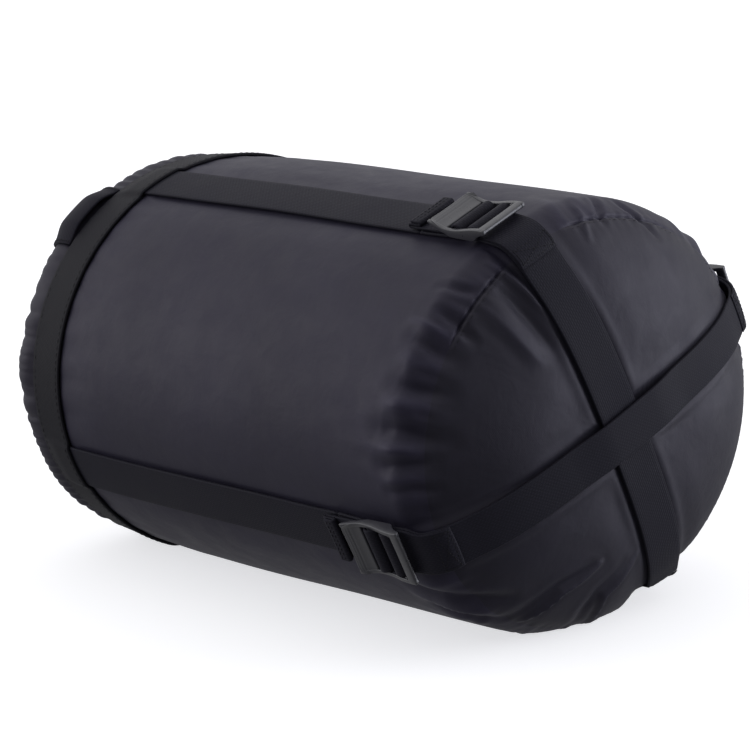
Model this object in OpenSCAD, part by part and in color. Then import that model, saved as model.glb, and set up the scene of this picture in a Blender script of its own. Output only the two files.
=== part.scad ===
// Compression sack: a stuffed fabric cylinder with a domed base, a gathered
// drawcord end, a webbing band round the mouth end and four adjuster straps.
// The straps run from the band to ladder locks that are hinged on two webbing
// straps crossing over the base.
// Frame: +Z up, +X along the sack from its mouth to its domed base.

/* [Sack body] */
// Width of the stuffed sack across its body
sack_width = 243; // [200:1:300]
// Height of the body section compared with its width
squash_at_mouth = 0.883; // [0.84:0.001:1]
// The same at the domed base
squash_at_base = 0.854; // [0.84:0.001:1]
// Straight length from the band to where the base starts to round over
body_length = 244; // [236:1:330]
// How far the base bulges past the straight length
base_bulge = 36.7; // [25:0.1:60]
// How far the gathered end bulges past the band
mouth_bulge = 37.2; // [25:0.1:60]
// Thickness of the fabric with its lining
fabric_thickness = 1.5; // [1:0.1:3]
// How much of the underside is pressed flat by the floor
floor_press = 5; // [4:0.1:8]

/* [Webbing] */
// Width of all webbing
webbing_width = 25; // [20:0.5:25]
// Thickness of all webbing
webbing_thickness = 1.6; // [1.2:0.1:1.8]
// Direction round the sack of the first strap, 0 is the near side, 90 the top
strap_turn = 67; // [60:1:75]
// How far the upper cross strap misses the middle of the base
cross_offset_over = 7.8; // [-10:0.1:10]
// How far the lower cross strap misses the middle of the base
cross_offset_under = -6; // [-10:0.1:10]
// Height of the carry handle above the gathered end
handle_rise = 3; // [2:0.5:10]

/* [Ladder locks] */
// Distance of the hinge bars of the locks from the band
lock_position = 238; // [232:1:240]
// Radius of the round bar that the sewn webbing loop turns on
hinge_bar_radius = 2; // [1.5:0.1:2]
// Radial clearance of the loop on its bar
hinge_clearance = 0.06; // [0.03:0.01:0.1]
// Width of the side rails
rail_width = 2.1; // [2:0.1:3]

/* [Drawcord lock] */
// Radius of the drawcord
cord_radius = 1.5; // [1:0.1:1.6]
// Radius of the middle line of the drawcord ring
mouth_radius = 13; // [12:0.5:16]
// Radial clearance of the plunger in its barrel
plunger_clearance = 0.05; // [0.02:0.01:0.1]

/* [Hidden] */
$fn = 48;
R0 = sack_width/2; Lc = body_length; ww = webbing_width; wt = webbing_thickness;
RW = 25; RL = R0 - 2.8; R1 = R0 - 0.2;
zf = -(R0*(squash_at_mouth+squash_at_base)/2 - floor_press) + 0.5;
// the origin: middle of the overall box, on the floor
ox = -(Lc+base_bulge-RW-mouth_bulge-20.9+4.0)/2; oy = 0; oz = -zf;
NA = 72;
BL = lock_position; hb = 4.9;
turns = [strap_turn, strap_turn-90, strap_turn-180, strap_turn+90];
fabric = [0.20,0.20,0.24]; web = [0.10,0.10,0.11]; hard = [0.06,0.06,0.07]; cordc = [0.15,0.15,0.16];

// smooth step from 0 at a to 1 at b
function ss(a,b,v) = let(t = min(1,max(0,(v-a)/(b-a)))) t*t*(3-2*t);
// angle a folded into -180..180
function fold(a) = a > 180 ? fold(a-360) : a <= -180 ? fold(a+360) : a;
// straight section radius at x
function rt(x) = x < 0 ? R0 + (R0-RL)*x/RW : R0 + 0.8*sin(180*min(1,x/Lc)) - 0.2*x/Lc;
// x and radius along the meridian: x up to Lc, then degrees of the dome
function mx(m) = m <= Lc ? m : Lc + base_bulge*pow(sin(m-Lc),1.05);
function mr(m) = m <= Lc ? rt(m) : m >= Lc+90 ? 0 : R1*pow(cos(m-Lc),0.793);
// meridian place of radius r on the dome
function rm(r) = Lc + acos(min(1,pow(max(0,r)/R1,1/0.793)));
// how far the floor pushes the fabric up: under the band, the lowest strap and its lock
function away(a,r) = abs(fold(a-turns[2]))*PI/180*r;
function lift(x,a,r) = max(2.2*ss(-30,-26,x)*(1-ss(0.6,4,x)),
  (2.3 + 9.9*ss(12,112,x)*(1-ss(256,275,x)))*(1-ss(18,27,away(a,r))),
  (12.2+2.8*ss(240,252,x))*ss(196,207,x)*(1-ss(260,274,x))*(1-ss(20,29,away(a,r))));
// the floor presses the underside flat
function press(z,l) = let(t = z-zf-l, k = 1.5) t < -k ? zf+l : t > k ? z : zf+l+(t+k)*(t+k)/(4*k);
// a point of the sack's surface
function S(m,a) = let(x = mx(m), r = mr(m), g = max(0,min(1,(x-Lc)/base_bulge)),
   kz = squash_at_mouth + (squash_at_base-squash_at_mouth)*max(0,min(1,x/(Lc+base_bulge))))
   [x, 3.2*g - r*cos(a), press(r*kz*sin(a) - 4.9*g, lift(x,a,r))];
function unit(v) = v/norm(v);
// outward normal of that surface
function N(m,a) = m > Lc+89 ? [1,0,0] :
   unit(cross(S(m,a-0.7)-S(m,a+0.7), S(m+(m>Lc?0.6:1),a)-S(m-(m>Lc?0.6:1),a)));
function P(m,a,d) = S(m,a) + d*N(m,a);
// the gathered end, t in degrees from the band to the mouth
function C(t,a) = let(c = pow(max(0,cos(t)),0.62), r = 18.6 + (RL-18.6)*c + 4*sin(min(180,3.6*t)),
   kz = squash_at_mouth + (1-squash_at_mouth)*(1-c), x = -RW - mouth_bulge*sin(t))
   [x, -r*cos(a), press(r*kz*sin(a) - 4*(1-c), lift(x,a,r))];
function CN(t,a) = t > 89 ? [-1,0,0] : unit(cross(C(t-0.5,a)-C(t+0.5,a), C(t,a+0.7)-C(t,a-0.7)));
function CP(t,a,d) = C(t,a) + d*CN(t,a);

// closed skin over loops of points, closed both ways or with flat ends
module skin(g, ring) {
  n = len(g); k = len(g[0]);
  polyhedron(points = [for (l = g) for (p = l) p],
    faces = concat(
      [for (i = [0:n-(ring?1:2)]) for (j = [0:k-1]) [i*k+j, i*k+(j+1)%k, ((i+1)%n)*k+(j+1)%k]],
      [for (i = [0:n-(ring?1:2)]) for (j = [0:k-1]) [i*k+j, ((i+1)%n)*k+(j+1)%k, ((i+1)%n)*k+j]],
      ring ? [] : [for (j = [0:k/2-2]) [j+1, j, k-1-j]],
      ring ? [] : [for (j = [0:k/2-2]) [j+1, k-1-j, k-2-j]],
      ring ? [] : [for (j = [0:k/2-2]) [(n-1)*k+j, (n-1)*k+j+1, (n-1)*k+k-2-j]],
      ring ? [] : [for (j = [0:k/2-2]) [(n-1)*k+j, (n-1)*k+k-2-j, (n-1)*k+k-1-j]]));
}
module place() { translate([ox,oy,oz]) children(); }

// fabric
lay_m = [0.4, 8, 18, 30, 45, 60, 75, 90, 105, 120, 140, 160, 178, 192, 200, 208, 220];
tube_m = concat(lay_m, [232, 240, Lc+2, Lc+7, Lc+13, Lc+20.6]);
module sack_tube() color(fabric) place()
  skin([for (i = [0:NA-1]) let(a = -360*i/NA) concat(
     [for (m = tube_m) S(m,a)],
     [for (k = [len(tube_m)-1:-1:0]) P(tube_m[k],a,-fabric_thickness)])], true);

dome_t = [21.4, 27, 33, 40, 47, 54, 61, 68, 74, 79.5, 85];
module base_panel() color(fabric) place() {
  k = len(dome_t); T = fabric_thickness;
  pts = concat([for (t = dome_t) for (i = [0:NA-1]) S(Lc+t, 360*i/NA)],
               [for (t = dome_t) for (i = [0:NA-1]) P(Lc+t, 360*i/NA, -T)],
               [S(Lc+90,0), S(Lc+90,0) - [T,0,0]]);
  q = k*NA;
  polyhedron(points = pts, faces = concat(
    [for (i = [0:k-2]) for (j = [0:NA-1]) [i*NA+j, (i+1)*NA+j, (i+1)*NA+(j+1)%NA]],
    [for (i = [0:k-2]) for (j = [0:NA-1]) [i*NA+j, (i+1)*NA+(j+1)%NA, i*NA+(j+1)%NA]],
    [for (i = [0:k-2]) for (j = [0:NA-1]) [q+i*NA+j, q+(i+1)*NA+(j+1)%NA, q+(i+1)*NA+j]],
    [for (i = [0:k-2]) for (j = [0:NA-1]) [q+i*NA+j, q+i*NA+(j+1)%NA, q+(i+1)*NA+(j+1)%NA]],
    [for (j = [0:NA-1]) [j, (j+1)%NA, q+(j+1)%NA]], [for (j = [0:NA-1]) [j, q+(j+1)%NA, q+j]],
    [for (j = [0:NA-1]) [(k-1)*NA+j, 2*q, (k-1)*NA+(j+1)%NA]],
    [for (j = [0:NA-1]) [q+(k-1)*NA+j, q+(k-1)*NA+(j+1)%NA, 2*q+1]]));
}

end_t = [0.01, 6, 12, 18, 25, 33, 42, 51, 60, 68, 75, 80.5, 85, 88, 90];
module mouth_collar() color(fabric) place()
  skin([for (i = [0:NA-1]) let(a = -360*i/NA) concat(
     [for (k = [len(end_t)-1:-1:1]) C(end_t[k],a)],
     [S(-RW,a), S(-12,a), S(-0.4,a)],
     [P(-0.4,a,-fabric_thickness), P(-12,a,-fabric_thickness), P(-RW,a,-fabric_thickness)],
     [for (k = [1:len(end_t)-1]) CP(end_t[k],a,-fabric_thickness)])], true);

// webbing band round the mouth end
module top_ring_band() color(web) place()
  skin([for (i = [0:NA-1]) let(a = -360*i/NA)
     [P(-RW,a,0.5+wt), P(-0.2,a,0.5+wt), P(-0.2,a,0.5), P(-RW,a,0.5)]], true);

// section of webbing lying on the sack at meridian m, direction a, raised by d
function across(m,a,d) = let(w = norm(S(m,a+1)-S(m,a-1))/2) concat(
   [for (j = [-2:2]) P(m, a + j/4*ww/w, d)],
   [for (j = [2:-1:-2]) P(m, a + j/4*ww/w, d+wt)]);
run_m = concat(lay_m, [BL-9.8]);
// the strap underneath keeps a little more room from the fabric, which bends more there
module strap_run(n) color(web) place()
  skin([for (m = run_m) across(m, turns[n], n == 2 ? 0.65 : 0.48)], false);

// place of a cross strap on the dome: s along it from the middle, o across it
function dome_at(s,o,a,e,d) = let(q = R1*0.97, v = o + e*max(0,1-pow(s/q,2)), r = sqrt(s*s+v*v))
   P(rm(min(r,R1-0.05)), a + atan2(v,s), d);
function dome_row(s,a,e,d) = concat(
   [for (j = [-2:2]) dome_at(s, j/4*ww, a, e, d)],
   [for (j = [2:-1:-2]) dome_at(s, j/4*ww, a, e, d+wt)]);
cross_s = [117.6, 115.5, 112, 107, 100, 92, 83, 74, 64, 54, 45, 37, 30, 23, 15, 8];
function ends_up(s) = 2.1*ss(100,118,abs(s));
module cross_strap(a,e,over) color(web) place()
  skin([for (k = [-len(cross_s):len(cross_s)]) let(
      s = k == 0 ? 0 : k < 0 ? cross_s[k+len(cross_s)] : -cross_s[len(cross_s)-k])
      dome_row(s, a, e, 0.5 + ends_up(s) + over*(wt+0.5)*(1-ss(16,44,abs(s))))], false);
module base_strap_under() cross_strap(turns[0], cross_offset_under, 0);
module base_strap_over() cross_strap(turns[1], cross_offset_over, 1);

// carry handle: a short webbing loop arched over the gathered end beside the band
loop_t = [35, 31, 26, 21, 16, 11, 6, 1.5];
module carry_handle() color(web) place()
  skin([for (k = [0:20]) let(a = 41+21*k/20, h = 0.3 + handle_rise*ss(0,1,min(1,(1-abs(k-10)/10)*1.6)))
     concat([for (t = loop_t) CP(t,a,h)], [for (j = [len(loop_t)-1:-1:0]) CP(loop_t[j],a,h+1.8)])], false);

// frame of lock n: origin on its hinge bar, X to the base, Z away from the sack
module on_lock(n) {
  c = P(BL, turns[n], hb); z = N(BL, turns[n]); zz = unit([0,z[1],z[2]]);
  b = asin((S(BL-38,turns[n])-S(BL,turns[n]))*zz/38);
  place() multmatrix([[1,0,0,c[0]],[0,zz[2],zz[1],c[1]],[0,-zz[1],zz[2],c[2]],[0,0,0,1]]) rotate([0,b,0]) children();
}
module flat(w) { rotate([90,0,0]) linear_extrude(height = w, center = true) children(); }
hw = ww/2 + 0.35; ow = hw + rail_width;
// side profile of a rail, x along the lock and z up
module rail_side() {
  polygon([[10.2,1.2],[10.2,3.8],[4.6,3.8],[1,3.4],[-6,2.2],[-12,1.8],[-16.5,2.4],[-20,3.6],[-23.5,5.0],[-24.9,5.3],
           [-24.9,3.8],[-22.8,2.5],[-19.3,0.6],[-15.8,-0.4],[-13,-2.1],[-9,-2.4],[-6,-2.4],[-4,-2.5],[3,-2.5],[4.6,-0.5],[7.6,0.8]]);
}
module ladder_lock(n) color(hard) on_lock(n) {
  for (s = [-1,1]) translate([0,s*(hw+rail_width/2),0]) flat(rail_width) rail_side();
  // hinge bar in the sewn loop
  rotate([90,0,0]) cylinder(r = hinge_bar_radius, h = 2*hw+1, center = true);
  // grip bar that the adjusting webbing turns over
  translate([-10,0,-0.2]) rotate([90,0,0]) cylinder(r = 2, h = 2*hw+1, center = true);
  // end bar
  flat(2*hw+1) polygon([[4.7,1.3],[10,1.3],[10.2,2.5],[9.6,3.7],[5.4,3.7],[4.7,2.6]]);
  // thumb lip
  flat(2*hw+1) polygon([[-15.2,0.2],[-15.8,-0.3],[-19.3,0.8],[-22.8,2.7],[-24.7,4.0],[-24.9,4.8],[-24.4,5.1],[-22.8,4.5],[-20,3.2],[-16.5,2.0],[-15.4,1.8]]);
}
// webbing loop sewn round the hinge bar
module strap_loop(n) color(web) on_lock(n) flat(ww) {
  ri = hinge_bar_radius + hinge_clearance; ro = ri + wt;
  difference() {
    union() {
      circle(r = ro);
      rotate(-8) translate([1.2,-ro+0.06]) square([12.8,2*wt-0.06]);
    }
    circle(r = ri);
  }
}
// adjusting webbing turned up over the grip bar and back under the lip
module quarter(x,z,ri,ro,sx,sz) translate([x,z]) intersection() {
  difference() { circle(r = ro); circle(r = ri); }
  translate([sx > 0 ? 0 : -ro-1, sz > 0 ? 0 : -ro-1]) square(ro+1);
}
module strap_wrap(n) color(web) on_lock(n) flat(ww) {
  translate([-9.6,-2.9-wt]) square([1.2,wt]);
  quarter(-8.4,-2.3,0.6,0.6+wt,1,-1);
  translate([-7.8,-2.31]) square([wt,2.12]);
  translate([-10,-0.2]) intersection() {
    difference() { circle(r = 2.2+wt); circle(r = 2.2); }
    translate([-6,0]) square([12,6]);
  }
  translate([-12.2-wt,-0.31]) square([wt,0.12]);
  quarter(-14.4+1.6-wt,-0.3,0.6,0.6+wt,1,-1);
  translate([-20,-0.9-wt]) square([5.6+1.6-wt,wt]);
}
// free end with its folded hem
module strap_tail(n) color(web) on_lock(n) flat(ww) {
  translate([-41,-0.9-wt]) square([20.8,wt]);
  translate([-41,-0.91]) square([8.5,2.9]);
}

// drawcord channel and neck at the mouth
module on_mouth() place() translate([-RW-mouth_bulge,0,-4]) rotate([0,-90,0]) children();
hx = 9;  // distance of the drawcord ring from the gathered end
module mouth_hem() color(fabric) on_mouth() difference() {
  union() {
    rotate_extrude($fn = 72) polygon([[16.4,0],[18.3,0],[16,3.5],[14.8,7],[12.4,7],[13,3.5]]);
    rotate_extrude($fn = 72) translate([mouth_radius,hx]) circle(r = 4);
  }
  rotate_extrude($fn = 72) translate([mouth_radius,hx]) circle(r = 2.4);
  translate([-mouth_radius-3,0,hx]) rotate([0,90,0]) cylinder(r = 4.6, h = 6, center = true);
}
module cord_eyelet() color([0.25,0.25,0.27]) on_mouth()
  translate([-mouth_radius-3.4,0,hx]) rotate([0,-90,0]) difference() {
    union() { translate([0,0,-0.2]) cylinder(r = 4.5, h = 1.4); translate([0,0,1]) cylinder(r = 5.6, h = 0.8); }
    translate([0,0,-1]) cylinder(r = 3.75, h = 4);
  }
module drawcord() color(cordc) on_mouth() {
  g = asin(2/mouth_radius);
  translate([0,0,hx]) rotate([0,0,180+g]) rotate_extrude(angle = 360-2*g, $fn = 72) translate([mouth_radius,0]) circle(r = cord_radius);
  for (s = [-1,1]) translate([-mouth_radius*cos(g)+1.52,2*s,hx]) rotate([0,-90,0]) cylinder(r = cord_radius+0.03, h = 21);
}
// spring loaded barrel lock below the mouth, its plunger pushed towards the sack
module on_cordlock() on_mouth() translate([-mouth_radius-15,0,hx-8.2]) children();
module cord_lock_body() color(hard) on_cordlock() difference() {
  union() {
    translate([0,0,1]) cylinder(r = 8, h = 15);
    translate([0,0,0.2]) cylinder(r1 = 7.2, r2 = 8, h = 0.81);
  }
  translate([0,0,3]) cylinder(r = 5.8, h = 20);
  translate([0,0,8.2]) rotate([0,90,0]) { for (s = [-1,1]) translate([0,s*2,0]) cylinder(r = 1.75, h = 30, center = true);
    cube([3.5,4,30], center = true); }
}
module cord_lock_plunger() color([0.12,0.12,0.13]) on_cordlock() difference() {
  union() {
    translate([0,0,5.9]) cylinder(r = 5.8-plunger_clearance, h = 13.5);
    translate([0,0,19.4]) cylinder(r1 = 5.75, r2 = 4.9, h = 0.9);
  }
  translate([0,0,9.4]) cube([30,7.6,5.9], center = true);
}
module cord_lock_spring() color([0.6,0.6,0.62]) on_cordlock() translate([0,0,3.1]) difference() {
  cylinder(r = 3.4, h = 2.7);
  translate([0,0,-1]) cylinder(r = 2.6, h = 6);
}

sack_tube();
base_panel();
mouth_collar();
mouth_hem();
cord_eyelet();
drawcord();
top_ring_band();
carry_handle();
base_strap_under();
base_strap_over();
strap_loop(0);  // strap_loop_1
strap_loop(1);  // strap_loop_2
strap_loop(2);  // strap_loop_3
strap_loop(3);  // strap_loop_4
ladder_lock(0);  // ladder_lock_1
ladder_lock(1);  // ladder_lock_2
ladder_lock(2);  // ladder_lock_3
ladder_lock(3);  // ladder_lock_4
strap_run(0);  // strap_run_1
strap_run(1);  // strap_run_2
strap_run(2);  // strap_run_3
strap_run(3);  // strap_run_4
strap_wrap(0);  // strap_wrap_1
strap_wrap(1);  // strap_wrap_2
strap_wrap(2);  // strap_wrap_3
strap_wrap(3);  // strap_wrap_4
strap_tail(0);  // strap_tail_1
strap_tail(1);  // strap_tail_2
strap_tail(2);  // strap_tail_3
strap_tail(3);  // strap_tail_4
cord_lock_body();
cord_lock_plunger();
cord_lock_spring();
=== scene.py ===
import math
import bpy
import bmesh
import numpy as np
from mathutils import Matrix, Vector

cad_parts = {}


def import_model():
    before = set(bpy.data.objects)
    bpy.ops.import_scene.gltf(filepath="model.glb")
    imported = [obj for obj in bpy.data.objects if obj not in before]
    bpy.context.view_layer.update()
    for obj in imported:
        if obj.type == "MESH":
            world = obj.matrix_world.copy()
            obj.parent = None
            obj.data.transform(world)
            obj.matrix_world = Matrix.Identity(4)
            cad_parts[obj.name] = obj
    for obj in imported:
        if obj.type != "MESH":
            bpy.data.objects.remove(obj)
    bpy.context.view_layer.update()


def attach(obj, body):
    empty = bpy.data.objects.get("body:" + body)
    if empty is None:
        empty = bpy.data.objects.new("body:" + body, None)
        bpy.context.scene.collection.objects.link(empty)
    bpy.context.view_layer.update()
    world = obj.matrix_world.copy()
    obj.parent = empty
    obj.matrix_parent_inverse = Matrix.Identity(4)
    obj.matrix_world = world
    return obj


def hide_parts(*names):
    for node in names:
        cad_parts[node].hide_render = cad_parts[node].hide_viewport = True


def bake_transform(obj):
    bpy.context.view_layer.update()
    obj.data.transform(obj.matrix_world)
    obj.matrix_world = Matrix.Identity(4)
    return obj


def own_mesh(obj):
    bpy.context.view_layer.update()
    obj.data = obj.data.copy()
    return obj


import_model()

PI = math.pi
D = PI / 180

# ------------------------------------------------------------------ the sack's shape, in mm, as in the CAD source
R0, LC, BB, MB = 121.5, 244.0, 36.7, 37.2
RW, RL, R1 = 25.0, R0 - 2.8, R0 - 0.2
KM, KB = 0.883, 0.854
ZF = -(R0 * (KM + KB) / 2 - 5) + 0.5
OX, OZ = -(LC + BB - RW - MB - 20.9 + 4.0) / 2, -ZF
WW, WT = 25.0, 1.6
TURNS = [67.0, -23.0, -113.0, 157.0]
BL, HB = 238.0, 4.9
OVER, UNDER = 7.8, -6.0


def ss(a, b, v):
    t = np.clip((np.asarray(v, float) - a) / (b - a), 0, 1)
    return t * t * (3 - 2 * t)


def fold(a):
    return (np.asarray(a, float) + 180) % 360 - 180


def away(a, r):
    return np.abs(fold(a - TURNS[2])) * D * r


def lift(x, a, r):
    w = away(a, r)
    l1 = 2.2 * ss(-30, -26, x) * (1 - ss(0.6, 4, x))
    l2 = (2.3 + 9.9 * ss(12, 112, x) * (1 - ss(256, 275, x))) * (1 - ss(18, 27, w))
    l3 = (12.2 + 2.8 * ss(240, 252, x)) * ss(196, 207, x) * (1 - ss(260, 274, x)) * (1 - ss(20, 29, w))
    return np.maximum(np.maximum(l1, l2), l3)


def press(z, l):
    t = z - ZF - l
    k = 1.5
    return np.where(t < -k, ZF + l, np.where(t > k, z, ZF + l + (t + k) ** 2 / (4 * k)))


def mx(m):
    m = np.asarray(m, float)
    return np.where(m <= LC, m, LC + BB * np.sin(np.clip(m - LC, 0, 90) * D) ** 1.05)


def mr(m):
    m = np.asarray(m, float)
    x = m
    straight = np.where(x < 0, R0 + (R0 - RL) * x / RW, R0 + 0.8 * np.sin(PI * np.clip(x / LC, 0, 1)) - 0.2 * x / LC)
    dome = R1 * np.maximum(0, np.cos(np.clip(m - LC, 0, 90) * D)) ** 0.793
    return np.where(m <= LC, straight, dome)


def rm(r):
    return LC + np.degrees(np.arccos(np.clip((np.maximum(0, r) / R1) ** (1 / 0.793), 0, 1)))


def S(m, a, grow=0.0):
    """A point of the sack's surface; grow stands the profile proud before the floor presses it."""
    m, a = np.broadcast_arrays(np.asarray(m, float), np.asarray(a, float))
    x, r0 = mx(m), mr(m)
    g = np.clip((x - LC) / BB, 0, 1)
    kz = KM + (KB - KM) * np.clip(x / (LC + BB), 0, 1)
    r = r0 + grow
    y = 3.2 * g - r * np.cos(a * D)
    z = press(r * kz * np.sin(a * D) - 4.9 * g, lift(x, a, r0))
    return np.stack([x, y, z], -1)


def unit(v):
    return v / np.maximum(1e-12, np.linalg.norm(v, axis=-1, keepdims=True))


def N(m, a):
    m, a = np.broadcast_arrays(np.asarray(m, float), np.asarray(a, float))
    h = np.where(m > LC, 0.6, 1.0)
    n = unit(np.cross(S(m, a - 0.7) - S(m, a + 0.7), S(m + h, a) - S(m - h, a)))
    return np.where((m > LC + 89)[..., None], np.array([1.0, 0, 0]), n)


def P(m, a, d):
    return S(m, a) + np.asarray(d, float)[..., None] * N(m, a)


def C(t, a, grow=0.0):
    """A point of the gathered end, t in degrees from the band to the mouth."""
    t, a = np.broadcast_arrays(np.asarray(t, float), np.asarray(a, float))
    c = np.maximum(0, np.cos(t * D)) ** 0.62
    r = 18.6 + (RL - 18.6) * c + 4 * np.sin(np.minimum(180, 3.6 * t) * D)
    kz = KM + (1 - KM) * (1 - c)
    x = -RW - MB * np.sin(t * D)
    l = lift(x, a, r)
    r = r + grow
    return np.stack([x, -r * np.cos(a * D), press(r * kz * np.sin(a * D) - 4 * (1 - c), l)], -1)


def CN(t, a):
    t, a = np.broadcast_arrays(np.asarray(t, float), np.asarray(a, float))
    n = unit(np.cross(C(t - 0.5, a) - C(t + 0.5, a), C(t, a + 0.7) - C(t, a - 0.7)))
    return np.where((t > 89)[..., None], np.array([-1.0, 0, 0]), n)


def dome_at(s, o, a, e, d):
    """Place on the dome: s along a cross strap from its middle, o across it."""
    q = R1 * 0.97
    v = o + e * np.maximum(0, 1 - (s / q) ** 2)
    r = np.sqrt(s * s + v * v)
    return P(rm(np.minimum(r, R1 - 0.05)), a + np.degrees(np.arctan2(v, s)), d)


def world(p):
    """mm in the working frame to metres in the CAD frame."""
    p = np.asarray(p, float)
    return (p + np.array([OX, 0.0, OZ])) / 1000.0


def lock_frame(n):
    """Origin and the x, y, z directions of lock n, as the CAD has them."""
    c = P(BL, TURNS[n], HB)
    z = N(BL, TURNS[n])
    zz = unit(np.array([0, z[1], z[2]]))
    b = math.asin(float((S(BL - 38, TURNS[n]) - S(BL, TURNS[n])) @ zz) / 38)
    base = np.array([[1, 0, 0], [0, zz[2], zz[1]], [0, -zz[1], zz[2]]])
    tilt = np.array([[math.cos(b), 0, math.sin(b)], [0, 1, 0], [-math.sin(b), 0, math.cos(b)]])
    return c, base @ tilt


LOCKS = [lock_frame(n) for n in range(4)]


def on_lock(n, p):
    c, m = LOCKS[n]
    return np.asarray(p, float) @ m.T + c


def to_lock(n, p):
    c, m = LOCKS[n]
    return (np.asarray(p, float) - c) @ m


def rng(seed):
    return np.random.default_rng(seed)


# ------------------------------------------------------------------ mesh helpers
def link(o):
    bpy.context.scene.collection.objects.link(o)
    return o


def make(name, verts, faces, mat, uv=None, attrs=None, metres=False):
    """A closed smooth mesh object from points in mm (working frame), with a corner UV map in mm called wv."""
    me = bpy.data.meshes.new(name)
    v = np.asarray(verts, float) if metres else world(verts)
    me.from_pydata(v.tolist(), [], faces)
    if uv is not None:
        layer = me.uv_layers.new(name="wv")
        layer.data.foreach_set("uv", np.asarray(uv, np.float32).ravel())
    for key, vals in (attrs or {}).items():
        at = me.attributes.new(key, "FLOAT", "POINT")
        at.data.foreach_set("value", np.asarray(vals, np.float32).ravel())
    me.polygons.foreach_set("use_smooth", [True] * len(me.polygons))
    me.materials.append(mat)
    bm = bmesh.new()
    bm.from_mesh(me)
    bmesh.ops.recalc_face_normals(bm, faces=bm.faces)
    bm.to_mesh(me)
    bm.free()
    me.update()
    return link(bpy.data.objects.new(name, me))


def loft(loops, U, V, ring=False, caps=True):
    """Faces and corner UVs of a skin over n closed loops of k points. U has k+1 values, V has n (+1 for a ring)."""
    n, k = loops.shape[:2]
    rows = n if ring else n - 1
    i, j = np.meshgrid(np.arange(rows), np.arange(k), indexing="ij")
    i, j = i.ravel(), j.ravel()
    i1, j1 = (i + 1) % n, (j + 1) % k
    f = np.stack([i * k + j, i * k + j1, i1 * k + j1, i1 * k + j], 1)
    U, V = np.asarray(U, float), np.asarray(V, float)
    if U.ndim == 1:
        uv = np.stack([np.stack([U[j], V[i]], 1), np.stack([U[j + 1], V[i]], 1), np.stack([U[j + 1], V[i + 1]], 1), np.stack([U[j], V[i + 1]], 1)], 1)
    else:
        uv = np.stack([np.stack([U[i, j], V[i, j]], 1), np.stack([U[i, j + 1], V[i, j + 1]], 1), np.stack([U[i + 1, j + 1], V[i + 1, j + 1]], 1), np.stack([U[i + 1, j], V[i + 1, j]], 1)], 1)
    faces, uvs = f.tolist(), [uv.reshape(-1, 2)]
    if not ring and caps:
        for row in (0, n - 1):
            faces.append([row * k + q for q in range(k)])
            uvs.append(np.stack([U[:k], np.full(k, V[row])], 1) if U.ndim == 1 else np.stack([U[row, :k], V[row, :k]], 1))
    return faces, np.concatenate(uvs)


def skin(name, loops, U, V, mat, ring=False, caps=True, attrs=None):
    faces, uv = loft(loops, U, V, ring, caps)
    return make(name, loops.reshape(-1, 3), faces, mat, uv, attrs)


def section(width=WW, thick=WT, nacross=14, r=None):
    """Outline of webbing: (across, up) points round it, with rounded selvedges. up runs from 0 to thick."""
    r = r or thick * 0.48
    hw = width / 2
    top = [(s, thick) for s in np.linspace(hw - r, -hw + r, nacross)]
    left = [(-hw + r - r * math.sin(q), thick / 2 + (thick / 2) * math.cos(q)) for q in (0.45, 0.95, PI / 2, PI - 0.95, PI - 0.45)]
    bottom = [(s, 0.0) for s in np.linspace(-hw + r, hw - r, nacross)]
    right = [(hw - r + r * math.sin(q), thick / 2 - (thick / 2) * math.cos(q)) for q in (0.45, 0.95, PI / 2, PI - 0.95, PI - 0.45)]
    pts = np.array(top + left + bottom + right)
    return pts[:, 0], pts[:, 1]


def sec_u(s, h, width=WW):
    """UV across for the outline: the place across, with the edges running on a little."""
    u = np.where(h > WT / 2, s, -s + 2 * width)
    return np.append(u, u[0])


def joined(name, objs):
    """Several objects joined into one."""
    with bpy.context.temp_override(active_object=objs[0], object=objs[0], selected_objects=objs, selected_editable_objects=objs):
        bpy.ops.object.join()
    objs[0].name = name
    objs[0].data.name = name
    return objs[0]


def capsule_set(name, centres, dirs, ups, length, radius, mat, flat=0.75):
    """Many small thread stitches as one mesh: each a rounded bar along dirs, lying with ups outwards."""
    centres, dirs, ups = (np.asarray(q, float) for q in (centres, dirs, ups))
    dirs = unit(dirs)
    sides = unit(np.cross(dirs, ups))
    ups = unit(np.cross(sides, dirs))
    ns = 6
    prof = [(-0.5, 0.0), (-0.46, 0.55), (-0.3, 0.92), (0.0, 1.0), (0.3, 0.92), (0.46, 0.55), (0.5, 0.0)]
    vs, faces = [], []
    base = 0
    for c, d, u, w in zip(centres, dirs, ups, sides):
        vs.append(c + d * prof[0][0] * length)
        for t, q in prof[1:-1]:
            arch = radius * 0.5 * (1 - (2 * t) ** 2)
            for k in range(ns):
                an = 2 * PI * k / ns
                vs.append(c + d * t * length + u * (arch + q * radius * flat * math.sin(an)) + w * q * radius * math.cos(an))
        vs.append(c + d * prof[-1][0] * length)
        m = len(prof) - 2
        for k in range(ns):
            faces.append([base, base + 1 + (k + 1) % ns, base + 1 + k])
            for r in range(m - 1):
                p = base + 1 + r * ns
                faces.append([p + k, p + (k + 1) % ns, p + ns + (k + 1) % ns, p + ns + k])
            p = base + 1 + (m - 1) * ns
            faces.append([p + k, p + (k + 1) % ns, base + 1 + m * ns])
        base += 2 + m * ns
    return make(name, np.array(vs), faces, mat)


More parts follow.
